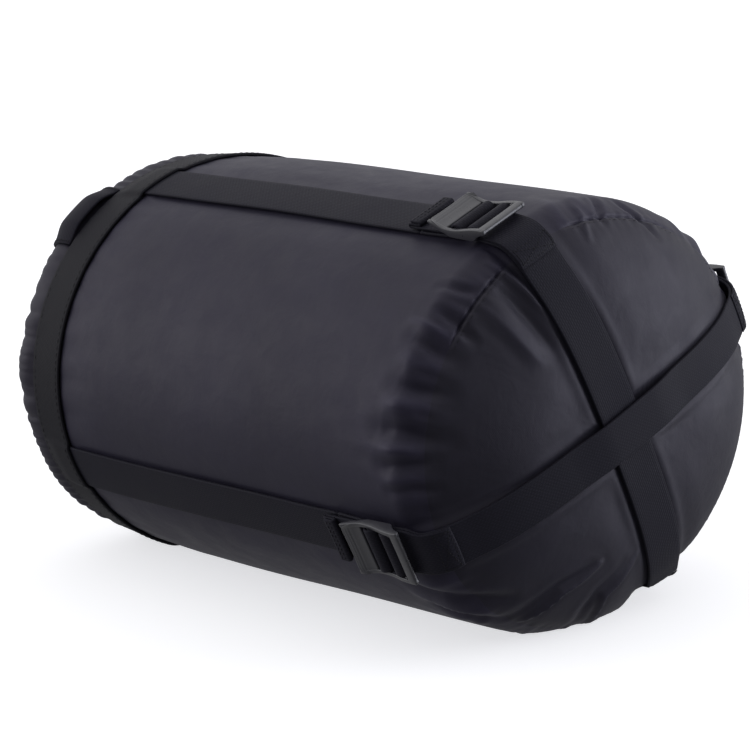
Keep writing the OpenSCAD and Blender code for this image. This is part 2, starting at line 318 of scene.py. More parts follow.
# ------------------------------------------------------------------ materials
class Graph:
    def __init__(self, name):
        self.mat = bpy.data.materials.new(name)
        self.mat.use_nodes = True
        self.t = self.mat.node_tree
        self.t.nodes.clear()
        self.out = self.t.nodes.new("ShaderNodeOutputMaterial")
        self.bsdf = self.t.nodes.new("ShaderNodeBsdfPrincipled")
        self.t.links.new(self.bsdf.outputs[0], self.out.inputs["Surface"])

    def node(self, kind, **props):
        n = self.t.nodes.new(kind)
        for k, v in props.items():
            setattr(n, k, v)
        return n

    def put(self, socket, value):
        if isinstance(value, bpy.types.NodeSocket):
            self.t.links.new(value, socket)
        else:
            socket.default_value = value

    def math(self, op, a, b=0.0, c=0.0, clamp=False):
        n = self.node("ShaderNodeMath", operation=op, use_clamp=clamp)
        for s, v in zip(n.inputs, (a, b, c)):
            self.put(s, v)
        return n.outputs[0]

    def noise(self, vec, scale, detail=3.0, rough=0.5, dist=0.0):
        n = self.node("ShaderNodeTexNoise")
        self.put(n.inputs["Vector"], vec)
        n.inputs["Scale"].default_value = scale
        n.inputs["Detail"].default_value = detail
        n.inputs["Roughness"].default_value = rough
        n.inputs["Distortion"].default_value = dist
        return n.outputs["Fac"]

    def ramp(self, fac, stops):
        n = self.node("ShaderNodeValToRGB")
        self.put(n.inputs[0], fac)
        el = n.color_ramp.elements
        while len(el) < len(stops):
            el.new(0.5)
        for e, (p, c) in zip(el, stops):
            e.position = p
            e.color = (*c, 1) if len(c) == 3 else c
        return n.outputs[0]

    def mix(self, fac, a, b, blend="MIX"):
        n = self.node("ShaderNodeMix", data_type="RGBA", blend_type=blend)
        self.put(n.inputs[0], fac)
        self.put(n.inputs[6], a)
        self.put(n.inputs[7], b)
        return n.outputs[2]

    def map(self, v, lo, hi, a, b):
        n = self.node("ShaderNodeMapRange")
        self.put(n.inputs[0], v)
        for i, q in enumerate((lo, hi, a, b)):
            n.inputs[i + 1].default_value = q
        return n.outputs[0]

    def bump(self, height, strength, distance, normal=None):
        n = self.node("ShaderNodeBump")
        n.inputs["Strength"].default_value = strength
        n.inputs["Distance"].default_value = distance
        self.put(n.inputs["Height"], height)
        if normal is not None:
            self.put(n.inputs["Normal"], normal)
        return n.outputs[0]

    def uv(self):
        n = self.node("ShaderNodeUVMap", uv_map="wv")
        s = self.node("ShaderNodeSeparateXYZ")
        self.put(s.inputs[0], n.outputs[0])
        return n.outputs[0], s.outputs[0], s.outputs[1]

    def obj(self):
        return self.node("ShaderNodeTexCoord").outputs["Object"]

    def attr(self, name):
        return self.node("ShaderNodeAttribute", attribute_name=name).outputs["Fac"]


def rgb(*c):
    return (*c, 1.0)


def nylon(name, dark=(0.0161, 0.0147, 0.0280), light=(0.0288, 0.0262, 0.0496)):
    """Coated nylon taffeta: very fine plain weave, soft violet sheen, crumpled a little."""
    g = Graph(name)
    uv, u, v = g.uv()
    obj = g.obj()
    # plain weave, 0.45 mm between threads
    wu = g.math("SINE", g.math("MULTIPLY", u, 2 * PI / 0.9))
    wv = g.math("SINE", g.math("MULTIPLY", v, 2 * PI / 0.9))
    weave = g.math("MULTIPLY_ADD", g.math("MULTIPLY", wu, wv), 0.5, 0.5)
    # slubs: threads a little thicker than the others
    slub_v = g.node("ShaderNodeMapping")
    g.put(slub_v.inputs[0], uv)
    slub_v.inputs["Scale"].default_value = (0.02, 1.1, 1.0)
    slub = g.noise(slub_v.outputs[0], 1.0, 2.0)
    slub_u = g.node("ShaderNodeMapping")
    g.put(slub_u.inputs[0], uv)
    slub_u.inputs["Scale"].default_value = (1.1, 0.02, 1.0)
    slub2 = g.noise(slub_u.outputs[0], 1.0, 2.0)
    big = g.noise(obj, 14.0, 4.0, 0.55)
    mid = g.noise(obj, 70.0, 4.0, 0.6, 0.4)
    fine = g.noise(obj, 420.0, 3.0, 0.6)
    tone = g.math("MULTIPLY_ADD", big, 0.55, g.math("MULTIPLY", mid, 0.3))
    tone = g.math("ADD", tone, g.math("MULTIPLY", slub, 0.12))
    tone = g.math("ADD", tone, g.math("MULTIPLY", slub2, 0.12))
    col = g.ramp(tone, [(0.30, dark), (0.75, light)])
    # painted highlight: the crests of folds and pleats are made a lighter colour, as where the light catches them
    crest_highlight = g.attr("crest_highlight_mask")
    col = g.mix(g.math("MULTIPLY", crest_highlight, 0.30, clamp=True), col, rgb(light[0] * 1.7, light[1] * 1.7, light[2] * 1.75))
    col = g.mix(g.math("MULTIPLY", weave, 0.16), col, rgb(0.034, 0.032, 0.044))
    g.put(g.bsdf.inputs["Base Color"], col)
    rough = g.math("ADD", g.map(mid, 0.3, 0.7, 0.46, 0.56), g.math("MULTIPLY", fine, 0.06))
    g.put(g.bsdf.inputs["Roughness"], rough)
    crump = g.node("ShaderNodeTexVoronoi", feature="DISTANCE_TO_EDGE")
    warped = g.node("ShaderNodeVectorMath", operation="ADD")
    nz = g.node("ShaderNodeTexNoise")
    nz.inputs["Scale"].default_value = 22.0
    g.put(nz.inputs["Vector"], obj)
    sc = g.node("ShaderNodeVectorMath", operation="SCALE")
    g.put(sc.inputs[0], nz.outputs["Color"])
    sc.inputs["Scale"].default_value = 0.03
    g.put(warped.inputs[0], obj)
    g.put(warped.inputs[1], sc.outputs[0])
    g.put(crump.inputs["Vector"], warped.outputs[0])
    crump.inputs["Scale"].default_value = 38.0
    crease = g.map(crump.outputs["Distance"], 0.0, 0.22, 0.0, 1.0)
    h1 = g.math("ADD", g.math("MULTIPLY", big, 0.9), g.math("MULTIPLY", mid, 0.25))
    n1 = g.bump(h1, 0.35, 0.0030)
    n2 = g.bump(crease, 0.035, 0.0006, n1)
    n3 = g.bump(fine, 0.10, 0.0004, n2)
    n4 = g.bump(weave, 0.20, 0.00010, n3)
    g.put(g.bsdf.inputs["Normal"], n4)
    g.bsdf.inputs["Specular IOR Level"].default_value = 0.40
    g.bsdf.inputs["Specular Tint"].default_value = (0.93, 0.89, 1.0, 1)
    g.bsdf.inputs["Sheen Weight"].default_value = 0.02
    g.bsdf.inputs["Sheen Roughness"].default_value = 0.45
    g.bsdf.inputs["Sheen Tint"].default_value = (0.80, 0.78, 1.0, 1)
    return g.mat


def webbing(name, dark=(0.0106, 0.0101, 0.0150), light=(0.0272, 0.0260, 0.0400)):
    """Woven polyester webbing: cords along it, locked by a weft, matt."""
    g = Graph(name)
    uv, u, v = g.uv()
    obj = g.obj()
    pitch, run = 1.25, 2.2
    cell = g.math("FLOOR", g.math("DIVIDE", u, pitch))
    odd = g.math("PINGPONG", cell, 1.0)
    cord = g.math("POWER", g.math("ABSOLUTE", g.math("SINE", g.math("MULTIPLY", u, PI / pitch))), 0.6)
    phase = g.math("ADD", g.math("MULTIPLY", v, 2 * PI / run), g.math("MULTIPLY", odd, PI))
    beat = g.math("MULTIPLY_ADD", g.math("COSINE", phase), 0.5, 0.5)
    h = g.math("MULTIPLY", cord, g.math("MULTIPLY_ADD", beat, 0.55, 0.45))
    big = g.noise(obj, 30.0, 3.0)
    fuzz = g.noise(obj, 900.0, 3.0, 0.7)
    tone = g.math("ADD", g.math("MULTIPLY_ADD", h, 0.34, 0.08), g.math("MULTIPLY", g.math("ADD", big, fuzz), 0.28))
    col = g.ramp(tone, [(0.15, dark), (0.85, light)])
    g.put(g.bsdf.inputs["Base Color"], col)
    g.put(g.bsdf.inputs["Roughness"], g.map(g.math("ADD", g.math("MULTIPLY", fuzz, 0.6), g.math("MULTIPLY", big, 0.4)), 0.3, 0.7, 0.50, 0.66))
    n1 = g.bump(h, 0.40, 0.00024)
    n2 = g.bump(fuzz, 0.20, 0.00025, n1)
    g.put(g.bsdf.inputs["Normal"], n2)
    g.bsdf.inputs["Specular IOR Level"].default_value = 0.12
    g.bsdf.inputs["Sheen Weight"].default_value = 0.015
    g.bsdf.inputs["Sheen Roughness"].default_value = 0.5
    g.bsdf.inputs["Sheen Tint"].default_value = (0.85, 0.83, 1.0, 1)
    return g.mat


def moulded(name, base=(0.0440, 0.0440, 0.0530), r0=0.24, r1=0.36):
    """Black moulded acetal: satin, with a faint grain and rubbed places."""
    g = Graph(name)
    obj = g.obj()
    grain = g.noise(obj, 1500.0, 2.0, 0.6)
    big = g.noise(obj, 120.0, 4.0, 0.6)
    st = g.node("ShaderNodeMapping")
    g.put(st.inputs[0], obj)
    st.inputs["Scale"].default_value = (90.0, 900.0, 500.0)
    scratch = g.map(g.noise(st.outputs[0], 1.0, 3.0, 0.6), 0.56, 0.66, 0.0, 1.0)
    col = g.mix(g.math("MULTIPLY", scratch, 0.35), rgb(*base), rgb(0.040, 0.040, 0.047))
    col = g.mix(g.math("MULTIPLY", big, 0.4), col, rgb(base[0] * 1.6, base[1] * 1.6, base[2] * 1.7))
    g.put(g.bsdf.inputs["Base Color"], col)
    g.put(g.bsdf.inputs["Roughness"], g.math("ADD", g.map(big, 0.3, 0.7, r0, r1), g.math("MULTIPLY", scratch, 0.12)))
    g.put(g.bsdf.inputs["Normal"], g.bump(scratch, 0.10, 0.00004, g.bump(grain, 0.12, 0.00012)))
    g.bsdf.inputs["Specular IOR Level"].default_value = 0.95
    return g.mat


def thread(name):
    """Bonded sewing thread: twisted plies, a little shinier than the webbing."""
    g = Graph(name)
    obj = g.obj()
    fine = g.noise(obj, 2600.0, 2.0, 0.6)
    big = g.noise(obj, 90.0, 2.0)
    col = g.ramp(g.math("MULTIPLY_ADD", fine, 0.6, g.math("MULTIPLY", big, 0.4)), [(0.3, (0.0085, 0.0083, 0.0110)), (0.8, (0.0185, 0.0180, 0.0245))])
    g.put(g.bsdf.inputs["Base Color"], col)
    g.put(g.bsdf.inputs["Roughness"], g.map(big, 0.3, 0.7, 0.52, 0.64))
    g.bsdf.inputs["Specular IOR Level"].default_value = 0.25
    g.put(g.bsdf.inputs["Normal"], g.bump(fine, 0.3, 0.0001))
    return g.mat


def braid(name):
    """Braided polyester cord."""
    g = Graph(name)
    uv, u, v = g.uv()
    obj = g.obj()
    a = g.math("SINE", g.math("MULTIPLY", g.math("ADD", u, v), 2 * PI / 1.2))
    b = g.math("SINE", g.math("MULTIPLY", g.math("SUBTRACT", u, v), 2 * PI / 1.2))
    h = g.math("MAXIMUM", a, b)
    fuzz = g.noise(obj, 1400.0, 3.0, 0.7)
    col = g.ramp(g.math("ADD", g.math("MULTIPLY_ADD", h, 0.25, 0.35), g.math("MULTIPLY", fuzz, 0.25)), [(0.2, (0.0038, 0.0038, 0.0045)), (0.9, (0.015, 0.0147, 0.017))])
    g.put(g.bsdf.inputs["Base Color"], col)
    g.put(g.bsdf.inputs["Roughness"], g.map(fuzz, 0.3, 0.7, 0.5, 0.7))
    g.put(g.bsdf.inputs["Normal"], g.bump(fuzz, 0.25, 0.0002, g.bump(h, 0.5, 0.0002)))
    return g.mat


def metal(name, col0, col1, r0, r1):
    g = Graph(name)
    obj = g.obj()
    big = g.noise(obj, 260.0, 4.0, 0.6)
    st = g.node("ShaderNodeMapping")
    g.put(st.inputs[0], obj)
    st.inputs["Scale"].default_value = (300.0, 2500.0, 2500.0)
    lines = g.noise(st.outputs[0], 1.0, 2.0, 0.5)
    g.put(g.bsdf.inputs["Base Color"], g.ramp(big, [(0.3, col0), (0.8, col1)]))
    g.put(g.bsdf.inputs["Roughness"], g.map(big, 0.3, 0.7, r0, r1))
    g.put(g.bsdf.inputs["Normal"], g.bump(lines, 0.15, 0.00005))
    g.bsdf.inputs["Metallic"].default_value = 1.0
    return g.mat


M_BODY = nylon("coated_nylon_body")
M_BASE = nylon("coated_nylon_base", (0.0136, 0.0128, 0.0215), (0.0240, 0.0228, 0.0370))
M_END = nylon("coated_nylon_gathered", (0.0152, 0.0142, 0.0235), (0.0266, 0.0250, 0.0400))
M_WEB = webbing("woven_webbing")
M_BAND = webbing("woven_webbing_band", (0.0098, 0.0095, 0.0122), (0.0245, 0.0240, 0.0310))
M_LOCK = moulded("moulded_black_plastic")
M_THREAD = thread("sewing_thread")
M_CORD = braid("braided_cord")
M_EYELET = metal("blackened_metal", (0.02, 0.02, 0.022), (0.06, 0.06, 0.064), 0.28, 0.42)
M_STEEL = metal("spring_wire", (0.20, 0.20, 0.21), (0.34, 0.34, 0.35), 0.22, 0.34)


# ------------------------------------------------------------------ lengths along the sack and distances from the straps
SEAM = 21.0
_m = np.linspace(-30, LC + 90, 4000)
_xr = np.stack([mx(_m), mr(_m)], 1)
_s = np.concatenate([[0], np.cumsum(np.linalg.norm(np.diff(_xr, axis=0), axis=1))])
_s -= np.interp(0, _m, _s)


def arc(m):
    return np.interp(m, _m, _s)


def m_at(s):
    return np.interp(s, _s, _m)


S_SEAM = float(arc(LC + SEAM))
S_POLE = float(arc(LC + 90))


def strap_gap(m, a):
    """Distance in mm from the middle of the nearest strap."""
    r = mr(m)
    near = []
    for t, e in ((TURNS[0], UNDER), (TURNS[1], OVER)):
        s, v = r * np.cos((a - t) * D), r * np.sin((a - t) * D)
        near.append(np.abs(v - e * np.maximum(0, 1 - (s / (R1 * 0.97)) ** 2)))
    low, high = np.minimum(*near), np.maximum(*near)
    k = 0.01 + 16.0 * ss(12.5, 30, low)
    return low - np.maximum(0, k - (high - low)) ** 2 / (4 * k)


def wave(a, n, seed, spread=0.35):
    """A periodic wandering angle in degrees, for uneven pleats."""
    g = rng(seed)
    out = np.asarray(a, float).copy()
    for k in range(1, 6):
        out = out + spread * (360.0 / n) * g.normal() / k ** 0.5 * np.sin((k * a + g.uniform(0, 360)) * D)
    return out


def ridged(a, n, seed, power=0.7, spread=0.35):
    """Round-topped pleats with sharp valleys, n of them round the sack, 0 to 1."""
    return np.abs(np.sin(n * wave(a, n, seed, spread) * D / 2)) ** power


def fold_set(a, s, r, folds):
    """Sum of soft ridges. Each fold: angle, where it starts and ends along s, its height, half width and lean in degrees."""
    out = np.zeros(np.broadcast(a, s).shape)
    for (ak, s0, s1, h, w, lean) in folds:
        q = fold(a - ak - lean * (s - s1) / 60.0) * D * r / w
        near = np.abs(q) < 5
        f = np.exp(-np.abs(q) ** 1.35) - 0.55 * np.exp(-np.abs(q - 1.7) ** 1.5) - 0.25 * np.exp(-np.abs(q + 1.7) ** 1.5)
        win = ss(s0, s0 + 0.55 * (s1 - s0), s) * (1 - ss(s1 - 0.16 * abs(s1 - s0), s1, s))
        out += np.where(near, f * h * win, 0)
    return out


def side_weight(a):
    """Deeper creases on the sides and below, fewer on top, as the load lies."""
    f = fold(a)
    far = np.maximum(ss(122, 150, f), 1 - ss(-150, -116, f))
    return 0.35 + 0.65 * np.exp(-(fold(a + 10) / 62.0) ** 2) + 0.35 * np.exp(-(fold(a + 80) / 40.0) ** 2) + 0.60 * far


def calm(a):
    """0 on the near shoulder, where the creases are laid one by one, 1 elsewhere."""
    return 1 - ss(-22, -12, fold(a)) * (1 - ss(58, 66, fold(a)))


g = rng(11)
TUBE_FOLDS, DOME_FOLDS = [], []
for k in range(52):
    ak = 360.0 * (k + g.uniform(-0.6, 0.6)) / 52
    big = g.uniform() < 0.40
    ln = g.uniform(26, 58) if big else g.uniform(10, 24)
    hh = (g.uniform(0.9, 2.0) if big else g.uniform(0.4, 0.8)) * float(side_weight(ak)) * (0.3 + 0.7 * float(calm(ak)))
    TUBE_FOLDS.append((ak, S_SEAM - ln, S_SEAM + 6, hh, (g.uniform(3.8, 6.0) if big else g.uniform(1.8, 3.0)), g.normal() * 7))
for k in range(44):
    ak = 360.0 * (k + g.uniform(-0.6, 0.6)) / 44
    big = g.uniform() < 0.34
    ln = g.uniform(34, 70) if big else g.uniform(9, 24)
    hh = (g.uniform(0.8, 1.7) if big else g.uniform(0.3, 0.7)) * float(side_weight(ak)) * (0.25 + 0.75 * float(calm(ak)))
    DOME_FOLDS.append((ak, S_SEAM + ln, S_SEAM - 5, hh, (g.uniform(3.6, 6.0) if big else g.uniform(1.6, 2.8)), g.normal() * 9))

# creases laid one by one: half width and height in mm, then places (distance along the sack, direction round it)
CREASES = [
    (3.6, -1.9, [(241, 32), (249, 31), (262, 29.5)]),
    (4.4, -2.2, [(241, 20), (250, 19.6), (264, 20.5)]),
    (3.2, -1.0, [(244, 26), (252, 24.6), (259, 24)]),
    (5.0, -2.6, [(236, 8.5), (248, 8.8), (266, 7.5)]),
    (3.0, -1.1, [(243, 13.4), (252, 14.2), (260, 14.0)]),
    (3.6, -2.0, [(238, -1), (249, 0.2), (262, 2)]),
    (2.8, -1.6, [(242, -7), (252, -6), (264, -6.5)]),
    (2.2, -1.5, [(247, 40), (258, 39), (267, 36.5)]),
    (2.0, -1.2, [(240, 46), (250, 47), (257, 48.5)]),
    (2.4, 0.9, [(240, 26.3), (247, 25.6), (254, 25.2)]),
    (3.0, 1.1, [(238, 14.8), (246, 14.4), (254, 14.2)]),
    (2.2, 0.9, [(236, 4.2), (244, 4.0), (253, 4.8)]),
    (1.8, 0.9, [(236, 36), (246, 35.4), (257, 34.5)]),
    (1.5, 1.3, [(251, 57.3), (261, 57.2), (270, 57.2), (282, 57.2), (296, 56.6)]),
    (1.9, -1.7, [(247, 61), (256, 60.6), (264, 60.6), (274, 60.8)]),
    (4.2, -1.9, [(262, 53), (273, 52.5), (284, 51.5), (304, 49.0)]),
    (3.0, 0.8, [(262, 46), (280, 44), (300, 41)]),
    (1.5, 1.7, [(261, -60.5), (272, -62), (285, -63.5), (306, -73)]),
    (2.8, -1.3, [(261, -56.0), (275, -58), (288, -60.5), (303, -68)]),
    (1.7, 1.7, [(262, -86), (273, -84.5), (284, -83), (306, -95)]),
    (2.8, -1.2, [(262, -79.5), (276, -78), (288, -79), (304, -87)]),
    (3.4, -2.2, [(230, -37), (246, -40), (257, -43), (270, -49)]),
    (3.0, -1.7, [(234, -46), (247, -50), (257, -55)]),
    (2.6, 1.1, [(226, -42), (244, -45.5), (257, -49.5)]),
    (1.8, -1.2, [(243, 97), (252, 95), (262, 92.5)]),
    (1.8, -1.3, [(248, 103), (256, 106), (268, 112)]),
    (1.6, 1.0, [(250, 88), (258, 87), (268, 85)]),
]


def laid(s, a, r, share=1.0):
    """The creases laid one by one."""
    out = np.zeros(np.broadcast(s, a).shape)
    for w, h, pts in CREASES:
        best = np.full(out.shape, 1e9)
        place = np.zeros(out.shape)
        total = len(pts) - 1.0
        for k in range(len(pts) - 1):
            (s0, a0), (s1, a1) = pts[k], pts[k + 1]
            x, y = s - s0, fold(a - a0) * D * r
            dx, dy = s1 - s0, fold(a1 - a0) * D * r
            t = np.clip((x * dx + y * dy) / (dx * dx + dy * dy), 0, 1)
            q = np.hypot(x - t * dx, y - t * dy)
            near = q < best
            best = np.where(near, q, best)
            place = np.where(near, (k + t) / total, place)
        run = np.clip(np.sin(PI * (0.04 + 0.92 * place)), 0, 1) ** 0.55
        side = np.exp(-(best / w) ** (1.3 if h > 0 else 1.7))
        back = 0.22 * np.exp(-((best - 2.1 * w) / w) ** 2)
        out += h * run * (side - back)
    return out * share


def drop(s, a):
    """The near shoulder falls away early, so that the fabric turns from the side to the base in a short way."""
    w = 0.35 + 0.65 * ss(-26, -8, fold(a)) * (1 - ss(30, 52, fold(a)))
    return -3.4 * w * ss(242, 258, s) * (1 - ss(266, 318, s))


def seam_shows(a):
    """Where the base seam can be made out; elsewhere it lies closed between the creases."""
    f = fold(a)
    near = ss(30, 38, f) * (1 - ss(56, 62, f))
    top = ss(78, 86, f) * (1 - ss(112, 124, f))
    back = np.maximum(ss(125, 150, f), 1 - ss(-150, -118, f)) * 0.8
    return np.maximum(np.maximum(near, top), back)


def seam_detail(s, a):
    """The sewn base seam: a fine groove, and puckers either side of it."""
    q = s - S_SEAM
    k = seam_shows(a)
    puck = (ridged(a, 118, 5, 1.0, 0.9) - 0.6) * (0.22 + 0.55 * k) * np.exp(-np.abs(q) / 4.0)
    return puck - (0.02 + 1.25 * k) * np.exp(-(q / 0.75) ** 2) + 0.15 * k * np.exp(-((np.abs(q) - 2.6) / 1.6) ** 2)


def tube_detail(m, a):
    s, r = arc(m), mr(m)
    gap = strap_gap(m, a)
    free = ss(12.0, 24.0, gap)
    loose = ss(10.5, 16.0, gap)
    swell = 1.15 * ss(12.8, 34, gap) * ss(0, 30, s)
    folds = fold_set(a, s, r, TUBE_FOLDS)
    gathers = (ridged(a, 44, 21, 1.3) - 0.5) * 0.45 * (1 - ss(3, 36, s)) * ss(-2, 2, s)
    slack = 0.55 * np.sin((3 * a + 40) * D + s / 38.0) * np.sin((5 * a) * D - s / 61.0) * ss(10, 60, s)
    edge = -0.5 * np.exp(-((gap - 13.2) / 1.6) ** 2) * ss(4, 12, s)
    own = laid(s, a, r, 1.25)
    d = 0.12 + swell + edge + free * (folds + gathers + slack) + loose * (own + drop(s, a)) + (0.35 + 0.65 * free) * seam_detail(s, a)
    # the second value is the painted highlight mask: high on fold crests, where the light catches them
    return d, np.clip(0.5 + (folds + gathers + own) * free * 0.35, 0, 1) * ss(0.05, 0.5, np.abs(folds) + np.abs(gathers) + np.abs(own))


def dome_detail(m, a):
    s, r = arc(m), mr(m)
    gap = strap_gap(m, a)
    free = ss(12.0, 22.0, gap)
    loose = ss(10.5, 16.0, gap)
    swell = 1.6 * ss(12.8, 36, gap)
    folds = fold_set(a, s, np.maximum(r, 20), DOME_FOLDS)
    slack = 0.5 * np.sin((4 * a + 70) * D + s / 23.0) * ss(S_POLE, S_POLE - 40, s)
    edge = 0.50 * np.exp(-((gap - 16.5) / 2.6) ** 2) - 0.40 * np.exp(-((gap - 12.9) / 0.9) ** 2)
    own = laid(s, a, np.maximum(r, 20), 1.25)
    d = 0.10 + swell + edge + free * (folds + slack) + loose * (own + drop(s, a)) + (0.35 + 0.65 * free) * seam_detail(s, a)
    # the second value is the painted highlight mask: high on fold crests, where the light catches them
    return d, np.clip(0.5 + (folds + own) * free * 0.35, 0, 1) * ss(0.05, 0.5, np.abs(folds) + np.abs(own))


def seam_step(a):
    """Half the step between the tube and the base panel at the seam that joins them; each gives way by it."""
    m0 = m_at(S_SEAM) + 0.0 * a
    return 0.5 * (dome_detail(m0, a)[0] - tube_detail(m0, a)[0])


def near_seam(s):
    return np.exp(-((s - S_SEAM) / 5.0) ** 2)


def fabric_shell(name, outer, inner, U, V, mat, crest_highlight_mask):
    """A closed thin shell round the sack. outer is (rows, columns, 3); inner has fewer rows and is given in reverse."""
    loops = np.concatenate([outer, inner], 0).transpose(1, 0, 2)
    return skin(name, loops, U, V, mat, ring=True, attrs={"crest_highlight_mask": crest_highlight_mask.T})


def around(n):
    return 360.0 * np.arange(n) / n


# ------------------------------------------------------------------ body tube
NB = 480
sb = np.concatenate([np.arange(-1.6, 186, 2.3), np.arange(186.5, S_SEAM - 6, 1.15), S_SEAM - np.array([5.6, 4.7, 3.9, 3.1, 2.4, 1.8, 1.2, 0.7, 0.3, 0.06, 0.0])])
A, MM = np.meshgrid(around(NB), m_at(sb))
d, crest_highlight_mask = tube_detail(MM, A)
d = d + seam_step(A[0])[None, :] * near_seam(sb)[:, None]
outer = P(MM, A, d)
step = list(range(len(sb) - 1, -1, -4))
inner = P(MM[step], A[step], d[step] - 0.7)
outer[..., 2] = np.maximum(outer[..., 2], ZF + 0.10)
inner[..., 2] = np.maximum(inner[..., 2], ZF + 0.75)
u = np.concatenate([sb, sb[step] + 400])
u = np.append(u, u[0])
vv = 360.0 * np.arange(NB + 1) / NB * D * R0
U2, V2 = np.meshgrid(u, vv)
body_skin = fabric_shell("sack_body_fabric", outer, inner, U2, V2, M_BODY, np.concatenate([crest_highlight_mask, crest_highlight_mask[step] * 0], 0))
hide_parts("sack_tube")
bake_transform(body_skin)

# ------------------------------------------------------------------ domed base panel
sd = np.concatenate([S_SEAM + np.array([0.0, 0.06, 0.3, 0.7, 1.2, 1.8, 2.4, 3.1, 3.9, 4.7, 5.6]), np.arange(S_SEAM + 6.8, S_SEAM + 60, 1.25), np.arange(S_SEAM + 61, S_POLE - 6, 2.4), [S_POLE - 3.5, S_POLE - 1.2, S_POLE - 0.05]])
A, MM = np.meshgrid(around(NB), m_at(sd))
d, crest_highlight_mask = dome_detail(MM, A)
d = d - seam_step(A[0])[None, :] * near_seam(sd)[:, None]
outer = P(MM, A, d)
step = list(range(len(sd) - 1, -1, -4))
inner = P(MM[step], A[step], d[step] - 0.7)
outer[..., 2] = np.maximum(outer[..., 2], ZF + 0.10)
inner[..., 2] = np.maximum(inner[..., 2], ZF + 0.75)
rho = S_POLE - np.concatenate([sd, sd[step]])
rho = np.append(rho, rho[0])
ang = 360.0 * np.arange(NB + 1) / NB * D
U2, V2 = rho[None, :] * np.cos(ang)[:, None], rho[None, :] * np.sin(ang)[:, None]
dome_skin = fabric_shell("base_panel_fabric", outer, inner, U2, V2, M_BASE, np.concatenate([crest_highlight_mask, crest_highlight_mask[step] * 0], 0))
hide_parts("base_panel")
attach(dome_skin, "sack_base")

# ------------------------------------------------------------------ gathered end
NG = 720


NPL = 94


def under_handle(t, a):
    return ss(37, 40, fold(a)) * (1 - ss(63, 66, fold(a))) * (1 - ss(38, 44, t))


def end_detail(t, a):
    k = ss(0, 12, t)
    w56 = 0.50 * k * (1 - ss(30, 52, t)) + 0.35 * (1 - k)
    wide = (ridged(a, 19, 34, 1.1, 4.5) - 0.6) * (0.75 + 0.45 * np.sin(7 * a * D + 1.0))
    small = (ridged(a, 53, 35, 0.9, 3.0) - 0.5) * (0.5 + 0.5 * np.sin(11 * a * D - 0.6))
    lobes = (0.2 + 0.8 * k) * (1 - ss(34, 62, t)) * (1.35 * wide + 0.75 * small)
    w28 = 2.6 * ss(22, 46, t) * (1 - ss(60, 76, t))
    w14 = 2.4 * ss(52, 72, t) * (1 - 0.45 * ss(80, 90, t))
    p56, p28, p14 = ridged(a, NPL, 31, 0.6, 1.5), ridged(a, NPL // 2, 32, 0.7, 1.0), ridged(a, 24, 33, 0.8, 0.8)
    uneven = 0.75 + 0.40 * np.sin(5 * a * D + 1.0) + 0.34 * np.sin(13 * a * D) + 0.28 * np.sin(31 * a * D + 2.0)
    twist = 0.5 * np.sin((9 * a) * D + t * D * 3)
    d = uneven * (w56 * (p56 - 0.75) + w28 * (p28 - 0.6) + w14 * (p14 - 0.5)) + twist * k * (1 - ss(70, 90, t)) + lobes
    u = under_handle(t, a)
    d = d * (1 - u) + np.minimum(d * 0.5, 0.12) * u
    # the second value is the painted highlight mask: high on the tops of the pleats
    return d, np.clip(p56 * w56 / 3 + p28 * w28 / 4, 0, 1) * 0.7


te = np.concatenate([[0.0, 0.6, 1.4, 2.4, 3.6, 5.0], np.arange(6.5, 88, 1.5), [88.5, 89.4, 89.98]])
A, TT = np.meshgrid(around(NG), te)
d, crest_highlight_mask = end_detail(TT, A)
floor_l = ZF + 0.25
outer = C(TT, A) + d[..., None] * CN(TT, A)
xb = np.array([-25.0, -21, -16, -11, -6, -2.2])
A2, XB = np.meshgrid(around(NG), xb)
db = 0.15 + (ridged(A2, NPL, 31, 0.6, 1.5) - 0.5) * 0.5 * (1 - ss(-25, -18, XB))
under_band = P(XB, A2, db)
outer = np.concatenate([outer[::-1], under_band[1:]], 0)
crest_highlight_mask = np.concatenate([crest_highlight_mask[::-1], np.zeros_like(under_band[1:, :, 0])], 0)
outer[..., 2] = np.maximum(outer[..., 2], floor_l)
ti = te[::4]
A3, TI = np.meshgrid(around(NG), ti)
di, _ = end_detail(TI, A3)
inner_c = C(TI, A3) + (di - 0.8)[..., None] * CN(TI, A3)
inner_c[..., 2] = np.maximum(inner_c[..., 2], floor_l + 0.6)
inner_b = P(XB[1:], A2[1:], db[1:] - 0.8)[::-1]
inner = np.concatenate([inner_b, inner_c], 0)
lens = np.concatenate([[0], np.cumsum(np.linalg.norm(np.diff(np.concatenate([outer, inner], 0)[:, 0], axis=0), axis=1))])
u = np.append(lens, lens[-1] + 1)
U2, V2 = np.meshgrid(u, 360.0 * np.arange(NG + 1) / NG * D * R0)
end_skin = fabric_shell("gathered_end_fabric", outer, inner, U2, V2, M_END, np.concatenate([crest_highlight_mask, np.zeros((len(inner), NG))], 0))
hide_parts("mouth_collar")
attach(end_skin, "mouth_end")

# ------------------------------------------------------------------ webbing band round the mouth end
NR = 540


def strap_under(a, r=R0):
    """1 where an adjuster strap passes under the band, easing to 0 beside it."""
    out = 0
    for t in TURNS:
        out = np.maximum(out, 1 - ss(12.6, 17.5, np.abs(fold(np.asarray(a, float) - t)) * D * r))
    return out


